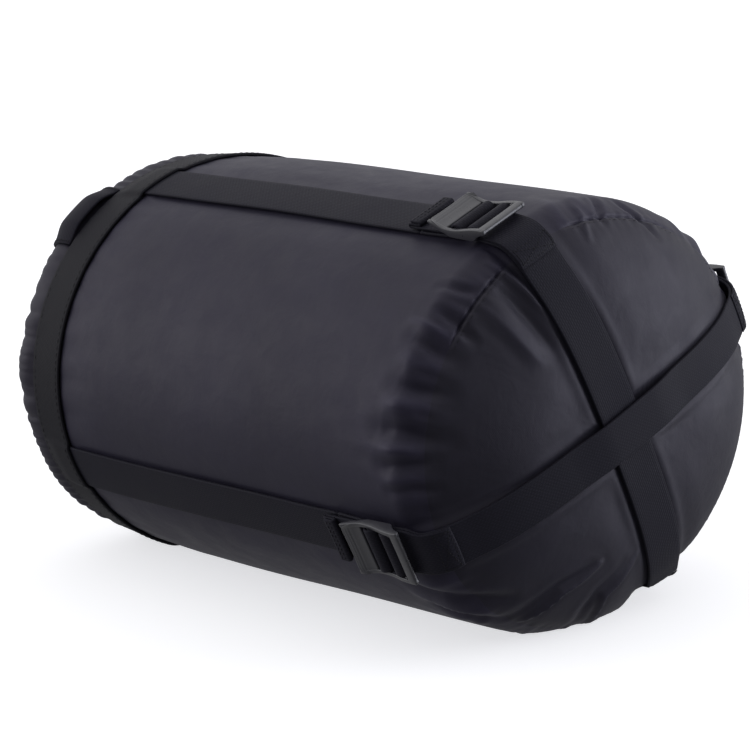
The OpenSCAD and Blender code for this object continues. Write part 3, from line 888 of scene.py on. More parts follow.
bs, bh = section(24.8, WT, 15)
ab = around(NR)
ab_sorted = ab
A, BS = np.meshgrid(ab_sorted, bs)
_, BH = np.meshgrid(ab_sorted, bh)
hump = 1.45 * strap_under(A) * ss(-26, -12, -12.6 + BS)
ripple = 0.25 * (ridged(A, NPL, 31, 0.6, 1.5) - 0.5) * ss(-2, -12.4, BS)
off = 0.5 + hump + ripple + BH
loops = P(-12.6 + BS, A, off).transpose(1, 0, 2)
loops[..., 2] = np.maximum(loops[..., 2], ZF + 0.15)
band = skin("band_webbing", loops, sec_u(bs, bh), 360.0 * np.arange(NR + 1) / NR * D * R0, M_BAND, ring=True)
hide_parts("top_ring_band")
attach(band, "mouth_end")

# ------------------------------------------------------------------ adjuster straps, band to lock
ws, wh = section(WW, WT, 13)


def on_sack(m, turn, s, d):
    """Points at meridian m, s across a strap that runs along direction turn, raised by d."""
    m, s, d = np.broadcast_arrays(np.asarray(m, float), np.asarray(s, float), np.asarray(d, float))
    w = np.linalg.norm(S(m, turn + 1) - S(m, turn - 1), axis=-1) / 2
    return P(m, turn + s / w, d)


CUT = 203.5
for n, turn in enumerate(TURNS):
    ms = np.concatenate([np.arange(-13.5, 3, 1.1), np.arange(4, CUT - 1, 2.4), [CUT]])
    M2, S2 = np.meshgrid(ms, ws, indexing="ij")
    _, H2 = np.meshgrid(ms, wh, indexing="ij")
    g = rng(70 + n)
    ph = g.uniform(0, 360, 3)
    drift = 0.10 * np.sin((M2 * 3.1 + ph[0]) * D) * ss(8, 40, M2) * (1 - ss(170, 200, M2))
    cup = 0.22 * (S2 / 12.5) ** 2 * ss(6, 30, M2) * (1 - ss(175, 203, M2))
    rise = 0.22 + (0.40 if n != 2 else 0.42) * ss(-1, 6, M2)
    side = 0.35 * np.sin((M2 * 1.9 + ph[1]) * D) * ss(5, 60, M2) * (1 - ss(150, 200, M2))
    pts = on_sack(M2, turn, S2 + side, rise + drift + cup + H2 * 0.97)
    pts[..., 2] = np.maximum(pts[..., 2], ZF + 0.12 + 0.001 * H2)
    o = skin(f"adjuster_strap_{n + 1}", pts, sec_u(ws, wh), ms, M_WEB)
    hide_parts(f"strap_run_{n + 1}")
    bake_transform(o)


def sweep2(path, T=1.5, width=WW, wave_amp=0.0, taper=None):
    """Sections of webbing swept along (x', z') in a lock's frame. Returns points in that frame and lengths."""
    p = np.asarray(path, float)
    t = np.gradient(p, axis=0)
    t /= np.maximum(1e-9, np.linalg.norm(t, axis=1, keepdims=True))
    nrm = np.stack([-t[:, 1], t[:, 0]], 1)
    s, h = section(width, T, 13)
    L = np.concatenate([[0], np.cumsum(np.linalg.norm(np.diff(p, axis=0), axis=1))])
    up = h[None, :] - T / 2
    x = p[:, :1] + nrm[:, :1] * up
    z = p[:, 1:] + nrm[:, 1:] * up
    y = np.broadcast_to(s[None, :], x.shape)
    return np.stack([x, y, z], -1), L, s, h


def arcpts(cx, cz, r, a0, a1, step=12.0):
    n = max(2, int(abs(a1 - a0) / step) + 1)
    return [(cx + r * math.cos(q * D), cz + r * math.sin(q * D)) for q in np.linspace(a0, a1, n)]


def line(p, q, step):
    n = max(2, int(math.hypot(q[0] - p[0], q[1] - p[1]) / step) + 1)
    return [(p[0] + (q[0] - p[0]) * k / (n - 1), p[1] + (q[1] - p[1]) * k / (n - 1)) for k in range(n)]


def path_of(*parts):
    out = []
    for part in parts:
        for q in part:
            if not out or math.hypot(q[0] - out[-1][0], q[1] - out[-1][1]) > 1e-3:
                out.append(tuple(q))
    return out


for n, turn in enumerate(TURNS):
    # the strap under the lock, turned up behind its grip bar
    ms = np.arange(CUT, 226.1, 1.6)
    mid = to_lock(n, on_sack(ms, turn, 0.0, 0.62 + 0.75))
    low = [(float(q[0]), float(q[2])) for q in mid]
    path = path_of(low, line(low[-1], (-8.6, -3.66), 0.9), arcpts(-8.4, -2.26, 1.4, -90, 0, 15), line((-7.0, -2.2), (-7.0, -0.25), 0.6))
    pts, L, s, h = sweep2(path)
    # near the cut the section takes the sack's own curve across
    px = np.array([q[0] for q in path])
    w = 1 - ss(-33.6, -14, px)
    flat_pts = on_lock(n, pts)
    mm_ = np.interp(px, [q[0] for q in low], ms)
    M2, S2 = np.meshgrid(mm_, s, indexing="ij")
    _, H2 = np.meshgrid(mm_, h, indexing="ij")
    surf = on_sack(M2, turn, S2, 0.62 + H2 * 0.97 * WT / 1.5)
    mixed = flat_pts * (1 - w)[:, None, None] + surf * w[:, None, None]
    o = skin(f"adjuster_turn_{n + 1}", mixed, sec_u(s, h), L + CUT, M_WEB)
    c, R = LOCKS[n]
    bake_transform(o)

    # over the grip bar, back under the thumb lip, and the free tail with its rolled hem
    # the quarter turn runs from the ring's left side down and away to the left
    tail = path_of(arcpts(-10, -0.2, 3.0, 0, 180, 9), [(-13.0, -0.35)], [(-14.4 + 1.4 * math.cos(q * D), -0.3 + 1.4 * math.sin(q * D)) for q in range(0, -91, -15)],
                   line((-14.4, -1.7), (-39.9, -1.7), 0.45),
                   arcpts(-39.9, -0.93, 0.77, -90, -270, 22), line((-39.9, -0.16), (-34.2, -0.16), 0.8),
                   arcpts(-34.2, 0.61, 0.77, -90, 90, 22), line((-34.2, 1.38), (-38.9, 1.38), 0.8))
    pts, L, s, h = sweep2(tail, T=1.45)
    pp = np.asarray(tail)
    flex = ss(-17, -24, pp[:, 0])
    g = rng(90 + n)
    bow = 0.16 * (pts[..., 1] / 12.5) ** 2 * flex[:, None]
    pts[..., 2] += bow - 0.05 * flex[:, None]
    o = skin(f"adjuster_tail_{n + 1}", on_lock(n, pts), sec_u(s, h), L + 240, M_WEB)
    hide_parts(f"strap_wrap_{n + 1}", f"strap_tail_{n + 1}")
    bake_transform(o)
    # stitches that hold the hem
    cs, ds, us = [], [], []
    for row in (-35.6, -37.8):
        for y in np.arange(-10.6, 10.7, 2.65):
            cs.append(on_lock(n, [row, y, 2.16]))
            ds.append(R[:, 1])
            us.append(R[:, 2])
    o = capsule_set(f"tail_hem_stitches_{n + 1}", cs, ds, us, 1.8, 0.18, M_THREAD)
    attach(o, f"tail_{n + 1}")


# ------------------------------------------------------------------ cross straps with their sewn loops
def ends_up(s):
    return 2.1 * ss(100, 118, np.abs(s))


def loop_path():
    """Round the hinge bar and out along the bottom, in a lock's frame, starting on top."""
    ring = arcpts(0, 0, 2.86, -22, 270, 14)
    upper = [(6.6, -2.02), (5.6, -1.86), (4.6, -1.70), (3.5, -1.45)]
    lower = [(1.4, -2.94), (3.0, -3.10), (4.6, -3.30), (6.2, -3.54), (7.6, -3.76)]
    return path_of(upper, ring, lower)


def bridge(before, first, last, after, k):
    """Sections that carry webbing smoothly from one section to another."""
    length = np.linalg.norm(last.mean(0) - first.mean(0))
    ta = unit((first - before).mean(0)) * length
    tb = unit((after - last).mean(0)) * length
    out = []
    for t in np.linspace(0, 1, k + 2)[1:-1]:
        h00, h10, h01, h11 = 2 * t**3 - 3 * t**2 + 1, t**3 - 2 * t**2 + t, -2 * t**3 + 3 * t**2, t**3 - t**2
        out.append(h00 * first + h10 * ta + h01 * last + h11 * tb)
    return np.array(out)


def loop_end(s):
    """Share of its thickness that the sewn free end of a loop keeps: it is heat cut, and pressed thin at its edge."""
    return 0.30 + 0.70 * ss(109.0, 112.4, np.abs(s))


def cross_strap(name, i, e, over, nodes):
    a = TURNS[i]
    top = lambda s: 0.5 + ends_up(s) + over * (WT + 0.5) * (1 - ss(16, 44, np.abs(s)))
    body_s = np.concatenate([np.arange(117.0, 104, -0.8), np.arange(104, 0, -2.0)])
    body_s = np.concatenate([body_s, [0.0], -body_s[::-1]])
    sec_s, sec_h = section(WW, 1.5, 13)
    B, Y = np.meshgrid(body_s, sec_s, indexing="ij")
    _, H = np.meshgrid(body_s, sec_h, indexing="ij")
    cup = 0.16 * (Y / 12.5) ** 2 * (1 - ss(88, 104, np.abs(B)))
    body = dome_at(B, Y, a, e, top(B) + H + cup + 0.05)
    ends = []
    for end, n in ((0, i), (1, i + 2)):
        sg = -1 if end else 1
        pts, L, s, h = sweep2(loop_path(), T=1.5)
        if end:
            pts[..., 1] *= -1
        pts = on_lock(n, pts)
        fs = np.arange(109.0, 117.05, 0.8) * sg
        F, FY = np.meshgrid(fs, sec_s, indexing="ij")
        _, FH = np.meshgrid(fs, sec_h, indexing="ij")
        # webbing that runs towards the lock has its outer face down in the section's order
        free = dome_at(F, FY, a, e, top(F) + 1.60 + (1.5 - FH) * loop_end(F))
        b0, b1 = (body[-1], body[-2]) if end else (body[0], body[1])
        ends.append(np.concatenate([free, bridge(free[-2], free[-1], pts[0], pts[1], 9), pts, bridge(pts[-2], pts[-1], b0, b1, 8)], 0))
    whole = np.concatenate([ends[0], body, ends[1][::-1]], 0)
    mid = whole.mean(1)
    L = np.concatenate([[0], np.cumsum(np.linalg.norm(np.diff(mid, axis=0), axis=1))])
    o = skin(name, whole, sec_u(sec_s, sec_h), L, M_WEB)
    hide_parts(*nodes)
    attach(o, "sack_base")
    return o


cross_strap("cross_strap_under_webbing", 0, UNDER, 0, ["base_strap_under", "strap_loop_1", "strap_loop_3"])
cross_strap("cross_strap_over_webbing", 1, OVER, 1, ["base_strap_over", "strap_loop_2", "strap_loop_4"])

# stitching that closes the loops: two rows across and a cross between them
for i, e, over in ((0, UNDER, 0), (1, OVER, 1)):
    cs, ds, us = [], [], []
    for sgn in (1, -1):
        def at(s, y):
            return dome_at(sgn * s, y, TURNS[i], e, 0.5 + float(ends_up(s)) + 1.60 + 1.5 * float(loop_end(s)))
        rows = [[(s0, y) for y in np.arange(-10.4, 10.5, 2.6)] for s0 in (110.2, 115.4)]
        rows += [[(s0, y) for s0 in np.arange(110.6, 115.3, 1.1)] for y in (-10.8, 10.8)]
        rows += [[(110.6 + 4.4 * q, 9.4 * (2 * q - 1) * f) for q in np.linspace(0, 1, 10)] for f in (1, -1)]
        for row in rows:
            for q in range(len(row)):
                p0 = at(*row[q])
                p1 = at(*row[min(q + 1, len(row) - 1)]) if q < len(row) - 1 else at(*row[q - 1])
                nrm = N(rm(np.hypot(row[q][0], row[q][1])), TURNS[i] + (0 if sgn > 0 else 180))
                cs.append(p0)
                ds.append(p1 - p0)
                us.append(nrm)
    o = capsule_set(f"loop_stitches_{'under' if i == 0 else 'over'}", cs, ds, us, 1.7, 0.17, M_THREAD)
    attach(o, "sack_base")


# ------------------------------------------------------------------ ladder locks
HWI, RAILW = WW / 2 + 0.35, 2.4
OWL = HWI + RAILW


def chaikin(pts, times=2, keep=0.45):
    """Rounds an outline's corners by about keep mm and its long runs softly."""
    p = [np.array(q, float) for q in pts]
    for _ in range(times):
        out = []
        for k in range(len(p)):
            a_, b_ = p[k], p[(k + 1) % len(p)]
            ln = np.linalg.norm(b_ - a_)
            c_ = min(0.25, keep / max(ln, 1e-6))
            out += [a_ + (b_ - a_) * c_, b_ - (b_ - a_) * c_]
        p = out
        keep *= 0.5
    return np.array(p)


def extrude_y(outline, y0, y1, bevel=0.35, plan=None):
    """Loops of an (x', z') outline from y0 to y1, its two ends drawn in to round the edges."""
    c_ = outline.mean(0)
    tang = np.roll(outline, -1, 0) - np.roll(outline, 1, 0)
    tang /= np.linalg.norm(tang, axis=1, keepdims=True)
    area = 0.5 * np.sum(outline[:, 0] * np.roll(outline[:, 1], -1) - np.roll(outline[:, 0], -1) * outline[:, 1])
    nrm = np.stack([tang[:, 1], -tang[:, 0]], 1) * (1 if area > 0 else -1)
    loops = []
    ys = [(0.0, bevel), (0.12 * bevel, 0.55 * bevel), (0.38 * bevel, 0.2 * bevel), (bevel, 0.0)]
    for dy, ins in ys:
        loops.append((y0 + dy, ins))
    for y in np.linspace(y0 + bevel, y1 - bevel, max(3, int((y1 - y0) / 1.2)))[1:-1]:
        loops.append((y, 0.0))
    for dy, ins in ys[::-1]:
        loops.append((y1 - dy, ins))
    out = []
    for y, ins in loops:
        q = outline - nrm * ins
        if plan is not None:
            q = plan(q, y)
        out.append(np.stack([q[:, 0], np.full(len(q), y), q[:, 1]], 1))
    return np.array(out)


def solid_from(loops):
    n, k = loops.shape[:2]
    f, uv = loft(loops, np.arange(k + 1.0), np.arange(float(n)))
    return loops.reshape(-1, 3), f, uv


RAIL = chaikin([(11.0, 1.25), (11.0, 3.75), (4.6, 3.75), (1.0, 3.4), (-2.5, 2.75), (-6.0, 2.2), (-9.0, 1.9), (-12.0, 1.8), (-14.5, 2.0), (-17.0, 2.4), (-19.5, 3.0), (-22.0, 3.7), (-24.5, 4.5), (-27.0, 5.2),
                (-28.9, 5.5), (-29.0, 4.1), (-26.0, 2.7), (-23.5, 1.7), (-21.0, 0.7), (-18.5, 0.1), (-16.0, -0.4), (-14.2, -1.2), (-12.6, -2.1), (-9.0, -2.4), (-6.0, -2.4), (-4.0, -2.5), (0.0, -2.6), (3.0, -2.45), (4.6, -0.6), (6.2, 0.2), (8.0, 0.85)], 2, 0.5)
END_BAR = chaikin([(4.7, 1.35), (7.0, 1.15), (10.6, 1.25), (11.05, 2.4), (10.6, 3.65), (8.0, 3.95), (5.5, 3.75), (4.7, 2.6)], 2, 0.6)
LIP = chaikin([(-15.1, 0.25), (-16.2, -0.3), (-18.5, 0.0), (-21.0, 0.7), (-23.5, 1.7), (-26.0, 2.75), (-28.0, 3.7), (-29.0, 4.5), (-28.9, 5.35), (-28.1, 5.55), (-27.2, 5.1), (-26.2, 4.95), (-25.3, 4.45), (-24.3, 4.25), (-23.3, 3.7), (-22.3, 3.5), (-20.5, 2.85), (-18.5, 2.3), (-16.8, 1.95), (-15.4, 1.7)], 2, 0.5)


def pulled_in(v):
    """The thumb lip, the end bar and the rails brought to the lengths and widths of the CAD part."""
    q = v.copy()
    q[:, 0] = np.where(q[:, 0] < -15.2, -15.2 + (q[:, 0] + 15.2) * 0.703, q[:, 0])
    q[:, 0] = np.where(q[:, 0] > 7.0, 7.0 + (q[:, 0] - 7.0) * 0.80, q[:, 0])
    q[:, 2] = np.where(q[:, 2] > 4.2, 4.2 + (q[:, 2] - 4.2) * 0.8, q[:, 2])
    over = np.maximum(0, np.abs(q[:, 1]) - HWI)
    q[:, 1] = np.sign(q[:, 1]) * (np.minimum(np.abs(q[:, 1]), HWI) + over * 0.875)
    return q


def lip_plan(q, y):
    """Rounded corners in plan and a dished top."""
    edge = abs(y) / (OWL - 0.2)
    back = 5.0 * max(0.0, (edge - 0.72) / 0.28) ** 2.4
    k = np.clip((-15.0 - q[:, 0]) / 14.0, 0, 1) ** 1.5
    dish = -0.55 * (1 - edge**2) * k
    return np.stack([q[:, 0] + back * k, q[:, 1] + dish * (q[:, 1] > (q[:, 0] * -0.25 - 4.0))], 1)


def bar_plan(q, y):
    edge = abs(y) / OWL
    back = 1.5 * max(0.0, (edge - 0.86) / 0.14) ** 2
    k = np.clip((q[:, 0] - 7.0) / 4.0, 0, 1)
    return np.stack([q[:, 0] - back * k, q[:, 1] - 0.12 * (1 - edge**2) * (q[:, 1] > 2)], 1)


def circle_outline(cx, cz, r, n=28, flatten=1.0):
    an = 2 * PI * np.arange(n) / n
    return np.stack([cx + r * np.cos(an), cz + r * flatten * np.sin(an)], 1)


def lock_parts():
    parts = []
    for sg in (-1, 1):
        y0, y1 = (HWI, OWL) if sg > 0 else (-OWL, -HWI)
        parts.append(extrude_y(RAIL, y0, y1, 0.42))
    parts.append(extrude_y(END_BAR, -OWL + 0.25, OWL - 0.25, 0.5, bar_plan))
    parts.append(extrude_y(LIP, -OWL + 0.12, OWL - 0.12, 0.45, lip_plan))
    parts.append(extrude_y(circle_outline(0, 0, 2.0), -HWI - 0.6, HWI + 0.6, 0.2))
    parts.append(extrude_y(circle_outline(-10, -0.2, 2.0), -HWI - 0.6, HWI + 0.6, 0.2))
    # fillets where the end bar meets the rails
    for sg in (-1, 1):
        fil = chaikin([(3.2, 2.9), (4.9, 3.6), (5.2, 1.6), (4.4, 1.2)], 2, 0.3)
        parts.append(extrude_y(fil, sg * HWI - 1.1, sg * HWI + 1.1, 0.5))
    return parts


def union(objs, name):
    """One closed solid out of overlapping ones."""
    base = objs[0]
    for o in objs[1:]:
        m = base.modifiers.new("u", "BOOLEAN")
        m.operation = "UNION"
        m.solver = "EXACT"
        m.object = o
    dg = bpy.context.evaluated_depsgraph_get()
    me = bpy.data.meshes.new_from_object(base.evaluated_get(dg))
    me.name = name
    for o in objs:
        bpy.data.objects.remove(o)
    return me


tmp = []
for q, loops in enumerate(lock_parts()):
    v, f, uv = solid_from(loops)
    tmp.append(make(f"tmp_lock_{q}", v / 1000.0, f, M_LOCK, uv, metres=True))
bpy.context.view_layer.update()
LOCK_MESH = union(tmp, "ladder_lock_mesh")
co = np.zeros(len(LOCK_MESH.vertices) * 3)
LOCK_MESH.vertices.foreach_get("co", co)
LOCK_MESH.vertices.foreach_set("co", (pulled_in(co.reshape(-1, 3) * 1000.0) / 1000.0).ravel())
LOCK_MESH.update()
LOCK_MESH.polygons.foreach_set("use_smooth", [True] * len(LOCK_MESH.polygons))
for n in range(4):
    c, R = LOCKS[n]
    me = LOCK_MESH.copy()
    m4 = Matrix([[*R[0], world(c)[0]], [*R[1], world(c)[1]], [*R[2], world(c)[2]], [0, 0, 0, 1]])
    me.transform(m4)
    me.update()
    if hasattr(me, "set_sharp_from_angle"):
        me.set_sharp_from_angle(angle=42 * D)
    o = link(bpy.data.objects.new(f"ladder_lock_moulding_{n + 1}", me))
    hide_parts(f"ladder_lock_{n + 1}")
    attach(o, f"lock_{n + 1}")

# ------------------------------------------------------------------ carry handle
hs, hh = section(22.0, 1.7, 13)
alpha = np.linspace(40.7, 62.3, 57)
q = np.clip((alpha - 41) / 21.0, 0, 1)
rise = 3.0 * ss(0, 1, np.clip((1 - np.abs(2 * q - 1)) * 1.6, 0, 1))
Ah, Hs = np.meshgrid(alpha, hs, indexing="ij")
_, Hh = np.meshgrid(alpha, hh, indexing="ij")
TH_ = 18.2 - Hs / 11.0 * 16.2 * (1 - 0.07 * np.sin(q * PI))[:, None]
pts = C(TH_, Ah) + (0.32 + rise[:, None] + Hh)[..., None] * CN(TH_, Ah)
L = np.concatenate([[0], np.cumsum(np.linalg.norm(np.diff(pts.mean(1), axis=0), axis=1))])
handle = skin("carry_handle_webbing", pts, sec_u(hs, hh, 22.0), L, M_WEB)
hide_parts("carry_handle")
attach(handle, "mouth_end")
cs, ds, us = [], [], []
for k in (2, 54):
    for j, tt_ in enumerate(np.linspace(4.5, 31.5, 15)):
        nv = CN(tt_, alpha[k])
        base = C(tt_, alpha[k]) + nv * (0.32 + rise[k] + 1.66)
        cs.append(base)
        along = unit(C(tt_, alpha[k] + 0.5) - C(tt_, alpha[k] - 0.5))
        across_ = unit(C(tt_ + 1, alpha[k]) - C(tt_ - 1, alpha[k]))
        ds.append(across_ * 0.45 + along * (1 if j % 2 else -1))
        us.append(nv)
o = capsule_set("handle_bartacks", cs, ds, us, 1.8, 0.20, M_THREAD)
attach(o, "mouth_end")

# ------------------------------------------------------------------ stitching on the band and round the base seam
cs, ds, us = [], [], []
for off_x in (-2.3, -22.6):
    nst = 186
    for k in range(nst):
        a0 = 360.0 * k / nst
        if 34.5 < a0 < 66 and off_x < -10:
            continue
        hump = 1.45 * float(strap_under(a0)) * float(ss(-26, -12, off_x))
        p0 = P(off_x, a0 - 0.5, 0.5 + hump + WT + 0.02)
        p1 = P(off_x, a0 + 0.5, 0.5 + hump + WT + 0.02)
        cs.append((p0 + p1) / 2)
        ds.append(p1 - p0)
        us.append(N(off_x, a0))
cs = np.array(cs)
cs[:, 2] = np.maximum(cs[:, 2], ZF + 0.45)
o = capsule_set("band_stitches", cs, ds, us, 2.4, 0.16, M_THREAD)
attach(o, "mouth_end")
cs, ds, us = [], [], []
nst = 196
for k in range(nst):
    a0 = 360.0 * k / nst
    m0 = float(m_at(S_SEAM + 2.2))
    if strap_gap(m0, a0) < 17.0 or float(seam_shows(a0)) < 0.3:
        continue
    d0 = float(dome_detail(np.array(m0), np.array(a0))[0] - seam_step(np.array(a0)) * near_seam(S_SEAM + 2.2))
    p0, p1 = P(m0, a0 - 0.4, d0), P(m0, a0 + 0.4, d0)
    cs.append((p0 + p1) / 2)
    ds.append(p1 - p0)
    us.append(N(m0, a0))
o = capsule_set("base_seam_stitches", cs, ds, us, 1.9, 0.14, M_THREAD)
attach(o, "sack_base")

# ------------------------------------------------------------------ mouth: gathered hem, eyelet, drawcord and cord lock
def on_mouth(p):
    """The mouth's own frame: z out of the sack, x up."""
    p = np.asarray(p, float)
    return np.stack([-p[..., 2] - 62.2, p[..., 1], p[..., 0] - 4.0], -1)


MR, HX, CR = 13.0, 9.0, 1.5
hem_prof = np.array([(18.6, -1.0), (18.3, 0.6), (17.5, 1.9), (16.6, 3.2), (15.9, 4.4)] +
                    [(MR + 4.05 * math.cos(t), HX + 4.05 * math.sin(t)) for t in np.linspace(-0.95, 3.9, 26)] +
                    [(12.4, 4.6), (12.2, 3.4), (13.4, 1.8), (14.6, 0.2), (15.4, -1.0)])
NH = 420
th = 2 * PI * np.arange(NH) / NH
pl = ridged(np.degrees(th), 30, 41, 0.85, 0.5)
TH, K = np.meshgrid(th, np.arange(len(hem_prof)), indexing="ij")
r_, z_ = hem_prof[K, 0], hem_prof[K, 1]
dr, dz = r_ - MR, z_ - HX
dist = np.hypot(dr, dz) + 1e-6
amp = 0.85 * ss(-1.5, 3, z_)
near_exit = np.exp(-(((TH - PI + PI) % (2 * PI) - PI) / 0.22) ** 2)
hole = np.exp(-((np.abs(TH - PI)) / 0.20) ** 2) * (dr > -1.0)
push = (pl[:, None] - 0.55) * amp * (1 - hole)
r_ = r_ + dr / dist * push
z_ = z_ + dz / dist * push
r_ = np.where((hole > 0.25) & (dr > 1.5) & (np.abs(dz) < 3.4), np.minimum(r_, MR + 4.0), r_)
pts = on_mouth(np.stack([r_ * np.cos(TH), r_ * np.sin(TH), z_], -1))
lens = np.concatenate([[0], np.cumsum(np.linalg.norm(np.diff(hem_prof, axis=0), axis=1))])
# its painted highlight mask is high on the tops of the hem's pleats
hem = skin("mouth_hem_gathers", pts, np.append(lens, lens[-1] + 2), np.arange(NH + 1) * 2 * PI * 40 / NH, M_END, ring=True, attrs={"crest_highlight_mask": np.clip(pl[:, None] * np.ones_like(r_) * 0.5, 0, 1)})
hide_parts("mouth_hem")
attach(hem, "mouth_end")


def lathe(name, prof, place, mat, n=96, attrs=None):
    prof = np.asarray(prof, float)
    t = 2 * PI * np.arange(n) / n
    T, K = np.meshgrid(t, np.arange(len(prof)), indexing="ij")
    p = np.stack([prof[K, 0] * np.cos(T), prof[K, 0] * np.sin(T), prof[K, 1]], -1)
    L = np.concatenate([[0], np.cumsum(np.linalg.norm(np.diff(prof, axis=0), axis=1))])
    return skin(name, place(p), np.append(L, L[-1] + 1), np.arange(n + 1) * 2 * PI * prof[:, 0].max() / n, mat, ring=True)


def eyelet_place(p):
    # z out of the hem, towards -x of the mouth's frame
    return on_mouth(np.stack([-p[..., 2] - MR - 3.4, p[..., 1], p[..., 0] + HX], -1))


prof = [(3.75, -0.9), (3.75, 0.6), (3.85, 1.2), (4.15, 1.65), (4.6, 1.88), (5.1, 1.85), (5.45, 1.6), (5.6, 1.25), (5.5, 0.98), (5.1, 0.9), (4.7, 0.85), (4.5, 0.5), (4.45, -0.2), (4.4, -0.9), (4.1, -1.1)]
ey = lathe("cord_eyelet_ring", chaikin(prof, 1, 0.2), eyelet_place, M_EYELET, 72)
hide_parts("cord_eyelet")
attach(ey, "mouth_end")

# the drawcord: round the channel, out through the eyelet and down into its lock
gap_a = math.asin(2 / MR)
path = []
leg = np.linspace(22.6, 1.2, 18)
for q in leg:
    path.append((-MR * math.cos(gap_a) + 1.52 - q, -2.0, HX))
ring_a = np.linspace(PI + gap_a + 0.13, 3 * PI - gap_a - 0.13, 100)
ring_pts = [(MR * math.cos(t), MR * math.sin(t), HX) for t in ring_a]
path = path + ring_pts + [(-MR * math.cos(gap_a) + 1.52 - q, 2.0, HX) for q in leg[::-1]]
path = np.array(path)
# smooth the two turns
for _ in range(3):
    path[1:-1] = 0.25 * path[:-2] + 0.5 * path[1:-1] + 0.25 * path[2:]
L = np.concatenate([[0], np.cumsum(np.linalg.norm(np.diff(path, axis=0), axis=1))])
fine_L = np.arange(0, L[-1], 0.32)
path = np.stack([np.interp(fine_L, L, path[:, k]) for k in range(3)], 1)
tan = unit(np.gradient(path, axis=0))
upv = np.array([0, 0, 1.0])
side = unit(np.cross(tan, upv))
up2 = np.cross(side, tan)
kk = 24
t = 2 * PI * np.arange(kk) / kk
FL, T = np.meshgrid(fine_L, t, indexing="ij")
weave_h = np.maximum(np.sin(FL * 2 * PI / 2.4 + 4 * T), np.sin(FL * 2 * PI / 2.4 - 4 * T)) * 0.11
rr = CR - 0.05 + weave_h
p = path[:, None, :] + rr[..., None] * (np.cos(T)[..., None] * side[:, None, :] + np.sin(T)[..., None] * up2[:, None, :])
cordo = skin("drawcord_braid", on_mouth(p), np.append(t, 2 * PI) * CR, fine_L, M_CORD)
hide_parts("drawcord")
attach(cordo, "mouth_end")


def on_cordlock(p):
    p = np.asarray(p, float)
    return on_mouth(p + np.array([-MR - 15, 0.0, HX - 8.2]))


def hollow_lathe(name, prof, cuts, mat, n=72):
    """A turned part with round cross holes cut through it."""
    o = lathe(name, prof, on_cordlock, mat, n)
    tools = []
    for loops in cuts:
        v, f, uv = solid_from(loops)
        tools.append(make("tmp_cut", on_cordlock(v), f, mat, uv))
    for c_ in tools:
        m = o.modifiers.new("c", "BOOLEAN")
        m.operation, m.solver, m.object = "DIFFERENCE", "EXACT", c_
    bpy.context.view_layer.update()
    me = bpy.data.meshes.new_from_object(o.evaluated_get(bpy.context.evaluated_depsgraph_get()))
    o.modifiers.clear()
    o.data = me
    for c_ in tools:
        bpy.data.objects.remove(c_)
    me.polygons.foreach_set("use_smooth", [True] * len(me.polygons))
    if hasattr(me, "set_sharp_from_angle"):
        me.set_sharp_from_angle(angle=38 * D)
    return o


def slot_loops(halfw, halfh, z0, x0, x1):
    """A stadium-shaped hole along x of the cord lock's frame."""
    an = np.concatenate([np.linspace(-PI / 2, PI / 2, 13), np.linspace(PI / 2, 3 * PI / 2, 13)])
    cy = np.concatenate([np.full(13, halfw - halfh), np.full(13, -(halfw - halfh))])
    y, z = cy + halfh * np.cos(an), z0 + halfh * np.sin(an)
    return np.array([np.stack([np.full(len(y), x), y, z], 1) for x in np.linspace(x0, x1, 8)])


barrel = chaikin([(0.01, 0.25), (5.8, 0.22), (7.1, 0.35), (7.75, 0.9), (8.0, 1.6), (8.0, 3.2), (7.72, 3.5), (7.72, 4.1), (8.0, 4.4), (8.0, 12.4), (7.72, 12.7), (7.72, 13.3), (8.0, 13.6), (8.0, 15.2), (7.7, 15.8), (6.6, 16.0), (5.95, 15.9), (5.8, 15.5), (5.8, 3.1), (0.01, 3.0)], 1, 0.12)
o = hollow_lathe("cord_lock_barrel", barrel, [slot_loops(3.75, 1.75, 8.2, -9.5, 9.5)], M_LOCK)
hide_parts("cord_lock_body")
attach(o, "mouth_end")
plunger = chaikin([(0.01, 5.9), (5.2, 5.9), (5.75, 6.2), (5.75, 19.3), (5.5, 19.9), (4.9, 20.28), (3.8, 20.22), (2.6, 20.0), (0.01, 19.9)], 1, 0.12)
box_c = np.array([[(x, -3.8, z) for z in (6.45, 12.35)] + [(x, 3.8, z) for z in (12.35, 6.45)] for x in np.linspace(-9, 9, 6)])
o = hollow_lathe("cord_lock_button", plunger, [box_c], M_LOCK)
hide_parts("cord_lock_plunger")
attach(o, "cord_plunger")
# its spring
tt = np.arange(0, 3.0 * 2 * PI, 2 * PI / 36)
zz = 3.35 + 2.2 * ss(0.08, 0.92, tt / tt[-1])
cen = np.stack([3.0 * np.cos(tt), 3.0 * np.sin(tt), zz], 1)
tn = unit(np.gradient(cen, axis=0))
rad = np.stack([np.cos(tt), np.sin(tt), 0 * tt], 1)
bi = np.cross(tn, rad)
an = 2 * PI * np.arange(12) / 12
p = cen[:, None] + 0.22 * (np.cos(an)[None, :, None] * rad[:, None] + np.sin(an)[None, :, None] * bi[:, None])
o = skin("cord_lock_coil_spring", on_cordlock(p), np.append(an, 2 * PI) * 0.22, tt * 3.0, M_STEEL)
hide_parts("cord_lock_spring")
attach(o, "mouth_end")
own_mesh(o)

